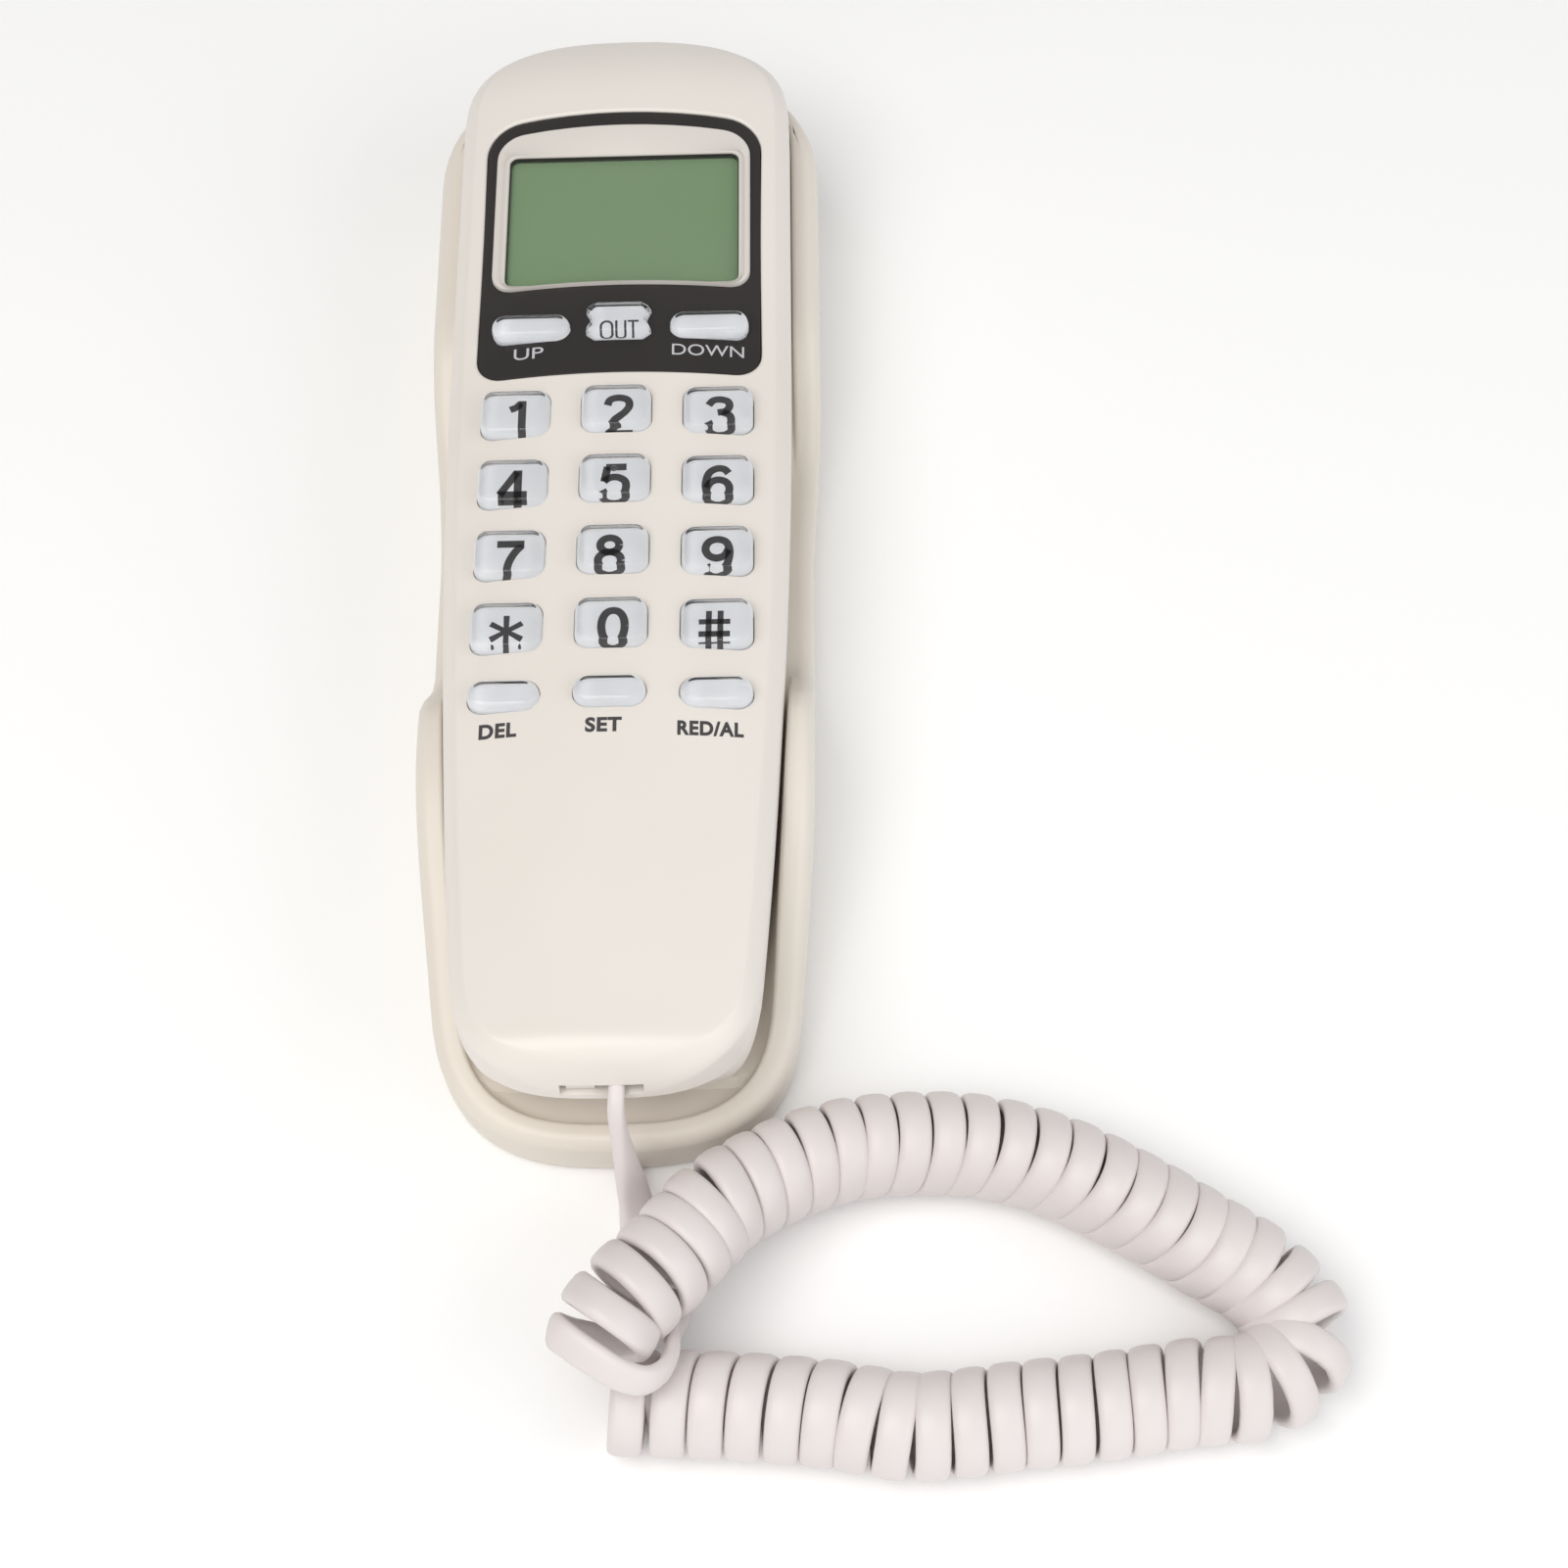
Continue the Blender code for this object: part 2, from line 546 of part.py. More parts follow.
def make_back_plate(parent):
    reach = CRADLE_WALL + GAP
    places = cradle_stations(reach)
    right = [(cradle_half_width(y, reach), y) for y in places]
    plate = add("back_plate", prism(right + [(-x, y) for x, y in reversed(right)], 0.0, PLATE), "cradle", parent)
    openings = [keyhole(y) for y in KEYHOLES_Y]
    openings.append(box((NOTCH_X - 2.2, NOTCH_X + 2.2), (-110.0, -97.0), (-2.0, 4.0)))
    openings.append(box((-21.0, -13.0), (-33.0, -25.0), (-2.0, 4.0)))
    openings += [cylinder(1.6, -1.0, 4.0, (x, y), 16) for x, y, _ in BASE_SCREWS.values()]
    cut(plate, "plate_openings", *openings)
    cut(plate, "plate_screw_heads", *[cylinder(3.3, -1.0, 1.4, (x, y), 16) for x, y, _ in BASE_SCREWS.values()])
    for name, (x, y, roof) in BASE_SCREWS.items():
        levels = ((2.9, 0.1), (2.9, 1.1), (1.1, 1.1), (1.1, roof - 3.0))
        add(f"base_screw_{name}", turned(levels, (x, y)), "metal", parent)


def make_cradle_inside(parent, hook):
    add("base_board", box((-22.0, 22.0), (-8.0, 24.0), (2.9, 4.3)), "board", parent)
    add("hook_switch_body", box((-5.0, 5.0), (3.0, 13.0), (4.6, 7.8)), "black", parent)
    levels = ((4.2, 8.2), (4.2, 9.0), (2.6, 9.0), (2.6, 15.1), (2.0, 15.7))
    add("hook_plunger", turned(levels, (0.0, PLUNGER_Y), 20), "cradle", hook)
    jack = add("base_jack", box((NOTCH_X - 5.0, NOTCH_X + 5.0), (-92.0, -77.0), (2.7, 8.1)), "black", parent)
    cut(jack, "base_jack_socket", box((NOTCH_X - 4.1, NOTCH_X + 4.1), (-100.0, -82.0), (3.3, 7.5)))
    add("base_plug", box((NOTCH_X - 3.8, NOTCH_X + 3.8), (-96.0, -84.0), (3.4, 6.8)), "clear", parent)
    line = add("line_jack", box((-22.5, -11.5), (-34.5, -23.5), (2.7, 10.7)), "black", parent)
    cut(line, "line_jack_socket", box((-20.6, -13.4), (-32.6, -25.4), (0.0, 9.4)))


# ---------------------------------------------------------------- cord


def curve_through(points, spacing):
    """Evenly spaced points on a smooth curve through the given ones."""
    fine = []
    ends = [2 * Vector(points[0]) - Vector(points[1]), 2 * Vector(points[-1]) - Vector(points[-2])]
    knots = [ends[0], *map(Vector, points), ends[1]]
    for a, b, c, d in zip(knots, knots[1:], knots[2:], knots[3:]):
        for k in range(24):
            t = k / 24
            square, cube = 2 * a - 5 * b + 4 * c - d, 3 * b - a - 3 * c + d
            fine.append(0.5 * (2 * b + (c - a) * t + square * t**2 + cube * t**3))
    fine.append(knots[-2])
    even, walked = [fine[0]], 0.0
    for one, two in zip(fine, fine[1:]):
        walked += (two - one).length
        if walked >= spacing:
            even.append(two)
            walked = 0.0
    even[-1] = fine[-1]
    return even


def make_tube(name, route, radius, spacing, slot, parent):
    curve = bpy.data.curves.new(name, "CURVE")
    curve.dimensions = "3D"
    curve.bevel_depth = radius * MM
    curve.bevel_resolution = 2
    curve.use_fill_caps = True
    points = curve_through(route, spacing)
    spline = curve.splines.new("POLY")
    spline.points.add(len(points) - 1)
    for point, place in zip(spline.points, points):
        point.co = (*(place * MM), 1.0)
    curve.materials.append(material(slot, 0.4))
    tube = bpy.data.objects.new(name, curve)
    tube.parent = parent
    phone.objects.link(tube)


def make_cord(parent):
    make_tube("cord_coil", COIL_ROUTE, COIL_RADIUS, 6.0, "cord", parent)
    make_tube("cord_lead_handset", HANDSET_LEAD, LEAD_RADIUS, 3.0, "cord", parent)
    make_tube("cord_lead_table", TABLE_LEAD, LEAD_RADIUS, 3.0, "cord", parent)
    make_tube("cord_lead_base", BASE_LEAD, LEAD_RADIUS, 4.0, "cord", parent)


def make_empty(name, place, parent=None):
    empty = bpy.data.objects.new(name, None)
    empty.location = Vector(place) * MM
    empty.empty_display_size = 0.01
    phone.objects.link(empty)
    if parent is not None:
        empty.parent = parent
    return empty


for old in list(bpy.data.objects):
    bpy.data.objects.remove(old)

phone = bpy.data.collections.new("slimline_wall_phone")
cutters = bpy.data.collections.new("cutters")
bpy.context.scene.collection.children.link(phone)
bpy.context.scene.collection.children.link(cutters)

base = make_empty("base_frame", (0.0, 0.0, 0.0))
handset = make_empty("handset_frame", (0.0, 0.0, 0.0))
hook = make_empty("hook_frame", (0.0, 0.0, 0.0))

make_front_shell(handset)
make_rear_shell(handset)
make_display(handset)
make_handset_inside(handset)
make_handset_end(handset)
for key_name, key_shape, key_centre in key_layout():
    make_key(key_name, key_shape, key_centre, handset)
make_cradle(base)
make_back_plate(base)
make_cradle_inside(base, hook)
make_cord(base)
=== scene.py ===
import math

import bmesh
import bpy
from mathutils import Matrix, Vector


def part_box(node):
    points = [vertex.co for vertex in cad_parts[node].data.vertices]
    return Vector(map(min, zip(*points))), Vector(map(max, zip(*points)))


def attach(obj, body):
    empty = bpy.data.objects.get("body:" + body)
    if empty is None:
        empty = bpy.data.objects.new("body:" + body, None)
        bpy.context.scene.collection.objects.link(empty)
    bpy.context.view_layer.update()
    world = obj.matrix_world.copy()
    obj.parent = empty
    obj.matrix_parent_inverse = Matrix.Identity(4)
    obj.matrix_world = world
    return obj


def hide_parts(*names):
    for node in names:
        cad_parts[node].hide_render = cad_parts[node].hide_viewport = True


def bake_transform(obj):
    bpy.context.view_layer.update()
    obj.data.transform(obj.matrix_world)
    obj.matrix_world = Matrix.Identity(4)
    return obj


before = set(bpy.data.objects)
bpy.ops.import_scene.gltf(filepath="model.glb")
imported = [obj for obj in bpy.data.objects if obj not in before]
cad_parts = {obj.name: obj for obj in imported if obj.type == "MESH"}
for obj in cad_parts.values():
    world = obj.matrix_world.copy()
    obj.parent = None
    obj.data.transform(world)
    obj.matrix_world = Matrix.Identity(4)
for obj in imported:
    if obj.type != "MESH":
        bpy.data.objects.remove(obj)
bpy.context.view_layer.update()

# Lengths below are in millimetres, in the frame's own axes: +Z out of the keys, +Y towards the earpiece.
MM = 0.001
FRONT = "handset"
BASE = "base"

# An outline has its half width along the length, and for each end where its rounding starts, where it ends and how
# square it is (2 is an ellipse).
HANDSET = dict(
    body=lambda y: 29.1 - 3.66e-4 * max(0.0, 32.0 - y) ** 2,
    bottom=(-85.0, -103.3, 2.9), top=(80.0, 103.4, 2.9),
)
CRADLE = dict(
    body=lambda y: 33.9 - 1.7 * smooth(y, 35.0, 0.0) - 3.3 * smooth(y, -40.0, -100.0),
    bottom=(-80.0, -104.6, 2.6), top=(77.0, 105.5, 2.2),
)
POCKET = dict(
    body=lambda y: HANDSET["body"](y) + 0.1 + 0.5 * smooth(y, -20.0, -36.0),
    bottom=(-80.0, -100.3, 2.9), top=(80.0, 103.7, 2.9),
)
CROWN_Z = 38.2
CROWN_RADIUS = 125.0
PARTING_Z = 27.0
GAP = 0.3

MENU_KEYS = ("up", "down", "out")
FUNCTION_KEYS = ("del", "set", "redial")
PLAIN_KEYS = ("up", "down", *FUNCTION_KEYS)  # low keys without a mark under them


# ---------------------------------------------------------------- shapes


def smooth(value, start, end):
    """0 before start, 1 after end, and a soft step between."""
    t = min(1.0, max(0.0, (value - start) / (end - start)))
    return t * t * (3 - 2 * t)


def crown_z(x):
    """The height of the face, which is curved across."""
    return CROWN_Z - x * x / (2 * CROWN_RADIUS)


def face_z(x, y):
    """The handset's face, which falls away towards both ends."""
    top = max(0.0, y - 86.0) / 17.4
    bottom = min(1.0, max(0.0, -97.0 - y) / 6.3)
    return crown_z(x) - 5.0 * top**2 - 9.0 * (1 - math.sqrt(1 - bottom**2))


def back_z(y):
    """The height of the handset's back, which steps down towards the ear and the mouth."""
    return 16.0 - 7.8 * smooth(y, 38.0, 50.0) - 5.0 * smooth(y, -45.0, -58.0) + 14.0 * smooth(y, 97.0, 104.5)


def underside_z(y):
    """The handset's back, which tucks up under the front shell at the end where the cord leaves."""
    return min(PARTING_Z - GAP - 0.6, back_z(y) + 15.2 * smooth(y, -93.6, -102.6))


def rim_z(y):
    """The height of the cradle's rim, which rises at the cheeks."""
    return 13.5 + 12.0 * smooth(y, 17.0, 45.0) + 15.0 * smooth(y, -19.0, -36.0) - 17.5 * smooth(y, -42.0, -100.0)


def pocket_floor_z(y):
    """The bottom of the cradle's pocket, with a deeper recess at the end where the cord leaves the handset."""
    return back_z(y) - 0.4 - 0.5 * smooth(y, -20.0, -36.0) - 1.4 * smooth(y, -92.6, -94.2)


def cavity_roof_z(y):
    """The inside of the cradle, under its pocket."""
    return min(pocket_floor_z(y) - 0.2, rim_z(y)) - 2.0


def half_ring(shape, inset, ends=15, sides=44):
    """The right half of an outline, from the middle of its lower end to the middle of its upper end."""
    points = []
    (low, low_end, low_power), (high, high_end, high_power) = shape["bottom"], shape["top"]
    for k in range(ends, 0, -1):
        angle = math.pi / 2 * k / ends
        y = low + (low_end + inset - low) * math.sin(angle) ** (2 / low_power)
        x = (shape["body"](y) - inset) * math.cos(angle) ** (2 / low_power)
        points.append((0.0 if k == ends else x, y))
    for k in range(sides + 1):
        y = low + (high - low) * k / sides
        points.append((shape["body"](y) - inset, y))
    for k in range(1, ends + 1):
        angle = math.pi / 2 * k / ends
        y = high + (high_end - inset - high) * math.sin(angle) ** (2 / high_power)
        x = (shape["body"](y) - inset) * math.cos(angle) ** (2 / high_power)
        points.append((0.0 if k == ends else x, y))
    return points


class Skin:
    """A bmesh in millimetres, grown ring by ring."""

    def __init__(self):
        self.bm = bmesh.new()

    def ring(self, shape, inset, height):
        """A closed ring on an outline; height(x, y) gives its z."""
        half = half_ring(shape, inset)
        loop = half + [(-x, y) for x, y in reversed(half[1:-1])]
        return [self.bm.verts.new((x, y, height(x, y))) for x, y in loop]

    def loop(self, points):
        return [self.bm.verts.new(p) for p in points]

    def bridge(self, one, two):
        for i in range(len(one)):
            j = (i + 1) % len(one)
            self.bm.faces.new((one[i], one[j], two[j], two[i]))

    def chain(self, rings, closed=False):
        for one, two in zip(rings, rings[1:]):
            self.bridge(one, two)
        if closed:
            self.bridge(rings[-1], rings[0])

    def fill(self, ring, shares, height):
        """Closes a ring with rows from its right side to its left; shares run from 1 (right) to -1 (left)."""
        count = len(ring) // 2
        rows = []
        for k in range(1, count):
            right, left = ring[k], ring[-k]
            x, y = right.co.x, right.co.y
            inner = [self.bm.verts.new((x * s, y, height(x * s, y, s))) for s in shares[1:-1]]
            rows.append([right, *inner, left])
        for one, two in zip(rows, rows[1:]):
            for i in range(len(one) - 1):
                self.bm.faces.new((one[i], one[i + 1], two[i + 1], two[i]))
        for tip, row in ((ring[0], rows[0]), (ring[count], rows[-1])):
            for i in range(len(row) - 1):
                self.bm.faces.new((tip, row[i], row[i + 1]))

    def cap(self, ring):
        self.bm.faces.new(ring)


def spread(count, ease=1.0):
    """Shares from 1 to -1, closer together near both ends when ease is below 1."""
    shares = []
    for k in range(count + 1):
        t = 1 - 2 * k / count
        shares.append(math.copysign(abs(t) ** ease, t))
    return shares


def rounded_outline(corners, steps=6):
    """A closed outline through (x, y, radius) corners, each rounded with an arc."""
    outline = []
    for i, (x, y, radius) in enumerate(corners):
        here = Vector((x, y))
        before = (Vector(corners[i - 1][:2]) - here).normalized()
        after = (Vector(corners[(i + 1) % len(corners)][:2]) - here).normalized()
        if radius <= 0:
            outline.append((x, y))
            continue
        half = before.angle(after) / 2
        centre = here + (before + after).normalized() * radius / math.sin(half)
        start = here + before * radius / math.tan(half) - centre
        turn = start.angle_signed(here + after * radius / math.tan(half) - centre)
        for k in range(steps + 1):
            spoke = Matrix.Rotation(-turn * k / steps, 2) @ start
            outline.append((centre.x + spoke.x, centre.y + spoke.y))
    return outline


def rectangle(width, length, radius, centre, grow=0.0, steps=7):
    w, h = width / 2 + grow, length / 2 + grow
    x, y = centre
    r = min(max(radius + grow, 0.1), w - 0.01, h - 0.01)
    return rounded_outline([(x - w, y - h, r), (x + w, y - h, r), (x + w, y + h, r), (x - w, y + h, r)], steps)


OVERLAY = dict(half_width=24.0, bottom=24.9, top=81.6, arch=1.6, corner_top=6.5, corner_bottom=4.0)
BEZEL = dict(half_width=22.3, bottom=43.2, top=78.1, arch=1.2, corner_top=5.0, corner_bottom=3.6)
GLASS = (40.2, 28.4, 1.5)
GLASS_PLACE = (0.25, 57.6)
FROM_FACE = 20.0


def arched(shape, grow=0.0):
    """The outline of the display panel: straight sides, rounded corners and a top that arches."""
    w, low, high = shape["half_width"] + grow, shape["bottom"] - grow, shape["top"] + grow
    shoulder = high - shape["arch"]
    top, bottom = shape["corner_top"] + grow, shape["corner_bottom"] + grow
    corners = [(-w, low, bottom), (w, low, bottom), (w, shoulder, top)]
    corners += [(w * f, high - shape["arch"] * f * f, 0) for f in (0.6, 0.4, 0.2, 0.0, -0.2, -0.4, -0.6)]
    return rounded_outline([*corners, (-w, shoulder, top)], 8)


def out_key_outline(centre, grow=0.0, steps=6):
    """The middle menu key is waisted, like a spool."""
    w, h = 11.3 / 2 + grow, 6.9 / 2 + grow
    heights = [2 * k / steps - 1 for k in range(steps + 1)]
    side = [(w - 0.9 * (1 - t * t), t * h * 0.62, 0.35) for t in heights]
    right = [(w * 0.72, -h, 0.6), *side, (w * 0.72, h, 0.6)]
    corners = [(x + centre[0], y + centre[1], r) for x, y, r in right + [(-x, -y, r) for x, y, r in right]]
    return rounded_outline(corners, 2)


def ray_outline(outline, centre, count):
    """The outline's points in count even directions from centre."""
    c = Vector(centre)
    found = []
    for k in range(count):
        angle = math.tau * k / count
        d = Vector((math.cos(angle), math.sin(angle)))
        best = 0.0
        for i, point in enumerate(outline):
            a, b = Vector(point) - c, Vector(outline[(i + 1) % len(outline)]) - c
            edge = b - a
            cross = d.x * edge.y - d.y * edge.x
            if abs(cross) < 1e-12:
                continue
            reach = (a.x * edge.y - a.y * edge.x) / cross
            along = (a.x * d.y - a.y * d.x) / cross
            if reach > 0 and -1e-6 <= along <= 1 + 1e-6:
                best = max(best, reach)
        found.append(c + d * best)
    return found


def annulus(outer, inner, centre, profile, count=200):
    """A closed frame between two outlines.

    profile lists (share of the way in, mm further in, height): heights under FROM_FACE are over the face, and the
    others are over the table.
    """
    skin = Skin()
    ends = list(zip(ray_outline(outer, centre, count), ray_outline(inner, centre, count)))
    rings = []
    for share, inward, height in profile:
        places = []
        for a, b in ends:
            room = 0.4 * (b - a).length
            p = a.lerp(b, share) + (b - a).normalized() * max(-room, min(room, inward))
            places.append((p.x, p.y, (crown_z(p.x) + height) if height < FROM_FACE else height))
        rings.append(skin.loop(places))
    skin.chain(rings, closed=True)
    return skin.bm


# ---------------------------------------------------------------- pieces


def piece(name, bm, paint, body, replaces=(), sharp=35.0):
    """Turns a bmesh in millimetres into a piece of the object."""
    bmesh.ops.remove_doubles(bm, verts=bm.verts, dist=1e-4)
    bmesh.ops.dissolve_degenerate(bm, edges=bm.edges, dist=1e-5)
    bmesh.ops.recalc_face_normals(bm, faces=bm.faces)
    bmesh.ops.transform(bm, matrix=Matrix.Scale(MM, 4), verts=bm.verts)
    mesh = bpy.data.meshes.new(name)
    bm.to_mesh(mesh)
    bm.free()
    made = bpy.data.objects.new(name, mesh)
    bpy.context.scene.collection.objects.link(made)
    mesh.materials.append(paint)
    mesh.shade_smooth()
    mesh.set_sharp_from_angle(angle=math.radians(sharp))
    if body:
        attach(made, body)
        for node in replaces:
            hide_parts(node)
    return made


def prism(outline, low, high):
    """A straight solid over a flat outline."""
    skin = Skin()
    rings = [skin.loop([(x, y, z) for x, y in outline]) for z in (low, high)]
    skin.chain(rings)
    skin.cap(rings[0])
    skin.cap(rings[1])
    return skin.bm


def box(x, y, z):
    return prism([(x[0], y[0]), (x[1], y[0]), (x[1], y[1]), (x[0], y[1])], *z)


def circle(radius, centre, segments):
    turns = [math.tau * (i + 0.5) / segments for i in range(segments)]
    return [(centre[0] + radius * math.cos(a), centre[1] + radius * math.sin(a)) for a in turns]


def joined(*solids):
    """Several solids in one bmesh."""
    together = bmesh.new()
    for solid in solids:
        mesh = bpy.data.meshes.new("part_of_cutter")
        solid.to_mesh(mesh)
        solid.free()
        together.from_mesh(mesh)
        bpy.data.meshes.remove(mesh)
    return together


def cut(target, *solids):
    """Cuts solids out of a piece, and leaves a plain mesh."""
    cutter = piece("cutter", joined(*solids), target.data.materials[0], None)
    modifier = target.modifiers.new("cut", "BOOLEAN")
    modifier.object = cutter
    modifier.solver = "EXACT"
    settle(target)
    bpy.data.objects.remove(cutter)


def settle(target, sharp=35.0):
    """Applies a piece's modifiers."""
    shown = bpy.context.evaluated_depsgraph_get()
    mesh = bpy.data.meshes.new_from_object(target.evaluated_get(shown))
    target.modifiers.clear()
    target.data = mesh
    mesh.shade_smooth()
    mesh.set_sharp_from_angle(angle=math.radians(sharp))


def weigh_normals(target):
    """Keeps flat faces flat where they meet rounded edges."""
    modifier = target.modifiers.new("even_shading", "WEIGHTED_NORMAL")
    modifier.keep_sharp = True
    modifier.weight = 80


# ---------------------------------------------------------------- materials


CREAM = (0.812, 0.764, 0.716)
CREAM_SHADE = (0.782, 0.731, 0.673)
# The shell's cream darkened for the display frame: painted shade, so that its upward-facing strip is less bright.
SHADED_FRAME_CREAM = (0.706, 0.665, 0.623)
INK = (0.052, 0.048, 0.052)


def paint(name, colour, roughness, **more):
    made = bpy.data.materials.new(name)
    made.use_nodes = True
    shader = made.node_tree.nodes["Principled BSDF"]
    shader.inputs["Base Color"].default_value = (*colour, 1)
    shader.inputs["Roughness"].default_value = roughness
    for key, value in more.items():
        shader.inputs[key.replace("_", " ")].default_value = value
    return made


def node(material, kind, **sockets):
    made = material.node_tree.nodes.new(kind)
    for key, value in sockets.items():
        made.inputs[key.replace("_", " ")].default_value = value
    return made


def link(material, source, output, target, socket):
    material.node_tree.links.new(source.outputs[output], target.inputs[socket])


def grained(material, colour, shade, scale=14.0, bump=0.02, bump_scale=2600.0, rough=None):
    """Faint clouding of the colour, and the fine texture of a moulded surface."""
    shader = material.node_tree.nodes["Principled BSDF"]
    place = node(material, "ShaderNodeTexCoord")
    clouds = node(material, "ShaderNodeTexNoise", Scale=scale, Detail=3.0, Roughness=0.55)
    link(material, place, "Object", clouds, "Vector")
    mix = material.node_tree.nodes.new("ShaderNodeValToRGB")
    mix.color_ramp.elements[0].position = 0.35
    mix.color_ramp.elements[1].position = 0.68
    mix.color_ramp.elements[0].color = (*shade, 1)
    mix.color_ramp.elements[1].color = (*colour, 1)
    link(material, clouds, "Fac", mix, "Fac")
    link(material, mix, "Color", shader, "Base Color")
    fine = node(material, "ShaderNodeTexNoise", Scale=bump_scale, Detail=2.0)
    link(material, place, "Object", fine, "Vector")
    dent = node(material, "ShaderNodeBump", Strength=bump, Distance=0.0001)
    link(material, fine, "Fac", dent, "Height")
    link(material, dent, "Normal", shader, "Normal")
    if rough:
        smear = node(material, "ShaderNodeTexNoise", Scale=55.0, Detail=4.0)
        link(material, place, "Object", smear, "Vector")
        spread_out = node(material, "ShaderNodeMapRange")
        spread_out.inputs["To Min"].default_value = rough[0]
        spread_out.inputs["To Max"].default_value = rough[1]
        link(material, smear, "Fac", spread_out, "Value")
        link(material, spread_out, "Result", shader, "Roughness")
    return material


def make_materials():
    made = {
        "clear": paint("clear_plastic", (0.97, 0.975, 0.985), 0.03, IOR=1.47, Transmission_Weight=1.0),
        "window": paint("window_plastic", (0.3, 0.36, 0.3), 0.05, IOR=1.5, Alpha=0.06),
        "ink": paint("ink", INK, 0.5),
        "pale_ink": paint("pale_ink", (0.55, 0.55, 0.58), 0.5),
        "lcd": lcd_material(),
    }
    made["shell"] = grained(
        paint("cream_plastic", CREAM, 0.36, IOR=1.5), CREAM, CREAM_SHADE, rough=(0.3, 0.42),
    )
    # Painted shade: the same cream plastic as the shell, only darker.
    made["frame"] = grained(
        paint("cream_plastic_frame_painted_shade", SHADED_FRAME_CREAM, 0.36, IOR=1.5), SHADED_FRAME_CREAM, (0.68, 0.636, 0.586), rough=(0.3, 0.42),
    )
    made["cradle"] = grained(
        paint("cream_plastic_cradle", CREAM, 0.4, IOR=1.5),
        (0.79, 0.735, 0.66), (0.75, 0.69, 0.61), rough=(0.33, 0.46),
    )
    made["panel"] = grained(
        paint("dark_panel", (0.03, 0.0265, 0.025), 0.3, IOR=1.4),
        (0.032, 0.0285, 0.027), (0.026, 0.023, 0.022), scale=30.0, bump=0.01, rough=(0.25, 0.4),
    )
    # The silver pad glows faintly: painted light standing in for the light that comes through the clear key caps.
    made["foil"] = grained(
        paint("silver_print_painted_glow", (0.85, 0.86, 0.88), 0.45, Emission_Color=(0.94, 0.96, 1.0, 1), Emission_Strength=0.17),
        (0.86, 0.87, 0.89), (0.80, 0.81, 0.83), scale=60.0, bump=0.01,
    )
    made["cord"] = grained(
        paint("cord_jacket", (0.74, 0.685, 0.675), 0.42),
        (0.755, 0.70, 0.69), (0.725, 0.665, 0.655), scale=40.0, bump=0.015, rough=(0.36, 0.48),
    )
    made["board"] = grained(
        paint("solder_mask", (0.02, 0.14, 0.05), 0.4), (0.02, 0.15, 0.06), (0.015, 0.11, 0.04),
    )
    made["rubber"] = grained(
        paint("silicone", (0.3, 0.3, 0.31), 0.7), (0.32, 0.32, 0.33), (0.28, 0.28, 0.29),
    )
    made["black"] = grained(
        paint("black_plastic", (0.025, 0.022, 0.02), 0.45), (0.03, 0.027, 0.025), (0.02, 0.018, 0.016),
    )
    made["metal"] = grained(
        paint("zinc_plate", (0.62, 0.62, 0.6), 0.35, Metallic=1.0),
        (0.64, 0.64, 0.62), (0.58, 0.58, 0.55), scale=90.0, rough=(0.25, 0.45),
    )
    return made


def lcd_material():
    """Grey green, faintly clouded."""
    made = paint("liquid_crystal", (0.2, 0.33, 0.17), 0.35, IOR=1.4)
    shader = made.node_tree.nodes["Principled BSDF"]
    place = node(made, "ShaderNodeTexCoord")
    clouds = node(made, "ShaderNodeTexNoise", Scale=45.0, Detail=1.5)
    link(made, place, "Object", clouds, "Vector")
    mix = made.node_tree.nodes.new("ShaderNodeValToRGB")
    mix.color_ramp.elements[0].color = (0.188, 0.305, 0.15, 1)
    mix.color_ramp.elements[1].color = (0.203, 0.3, 0.165, 1)
    link(made, clouds, "Fac", mix, "Fac")
    link(made, mix, "Color", shader, "Base Color")
    return made


# ---------------------------------------------------------------- camera, light and floor


def make_camera():
    """At the lower end of the telephone, looking down its length and a little from the right."""
    azimuth, elevation, roll = math.radians(3.04), math.radians(61.01), math.radians(3.81)
    distance = 490.0
    target = Vector((27.65, -54.76, 37.0))
    turn = Matrix.Rotation(azimuth, 3, "Z")
    right = turn @ Vector((1, 0, 0))
    up = turn @ Vector((0, math.sin(elevation), math.cos(elevation)))
    back = turn @ Vector((0, -math.cos(elevation), math.sin(elevation)))
    across = math.cos(roll) * right - math.sin(roll) * up
    above = math.sin(roll) * right + math.cos(roll) * up
    lens = bpy.data.cameras.new("camera")
    lens.lens = 71.96
    lens.sensor_width = 36.0
    lens.clip_start = 0.01
    camera = bpy.data.objects.new("camera", lens)
    bpy.context.scene.collection.objects.link(camera)
    place = (target + back * distance) * MM
    camera.matrix_world = Matrix((
        (across.x, above.x, back.x, place.x), (across.y, above.y, back.y, place.y),
        (across.z, above.z, back.z, place.z), (0, 0, 0, 1),
    ))
    bpy.context.scene.camera = camera


def make_light(name, place, aim, size, power, colour=(1, 1, 1)):
    lamp = bpy.data.lights.new(name, "AREA")
    lamp.shape = "RECTANGLE"
    lamp.size, lamp.size_y = size
    lamp.energy = power
    lamp.color = colour
    made = bpy.data.objects.new(name, lamp)
    made.location = place
    made.rotation_euler = (Vector(place) - Vector(aim)).to_track_quat("Z", "Y").to_euler()
    bpy.context.scene.collection.objects.link(made)


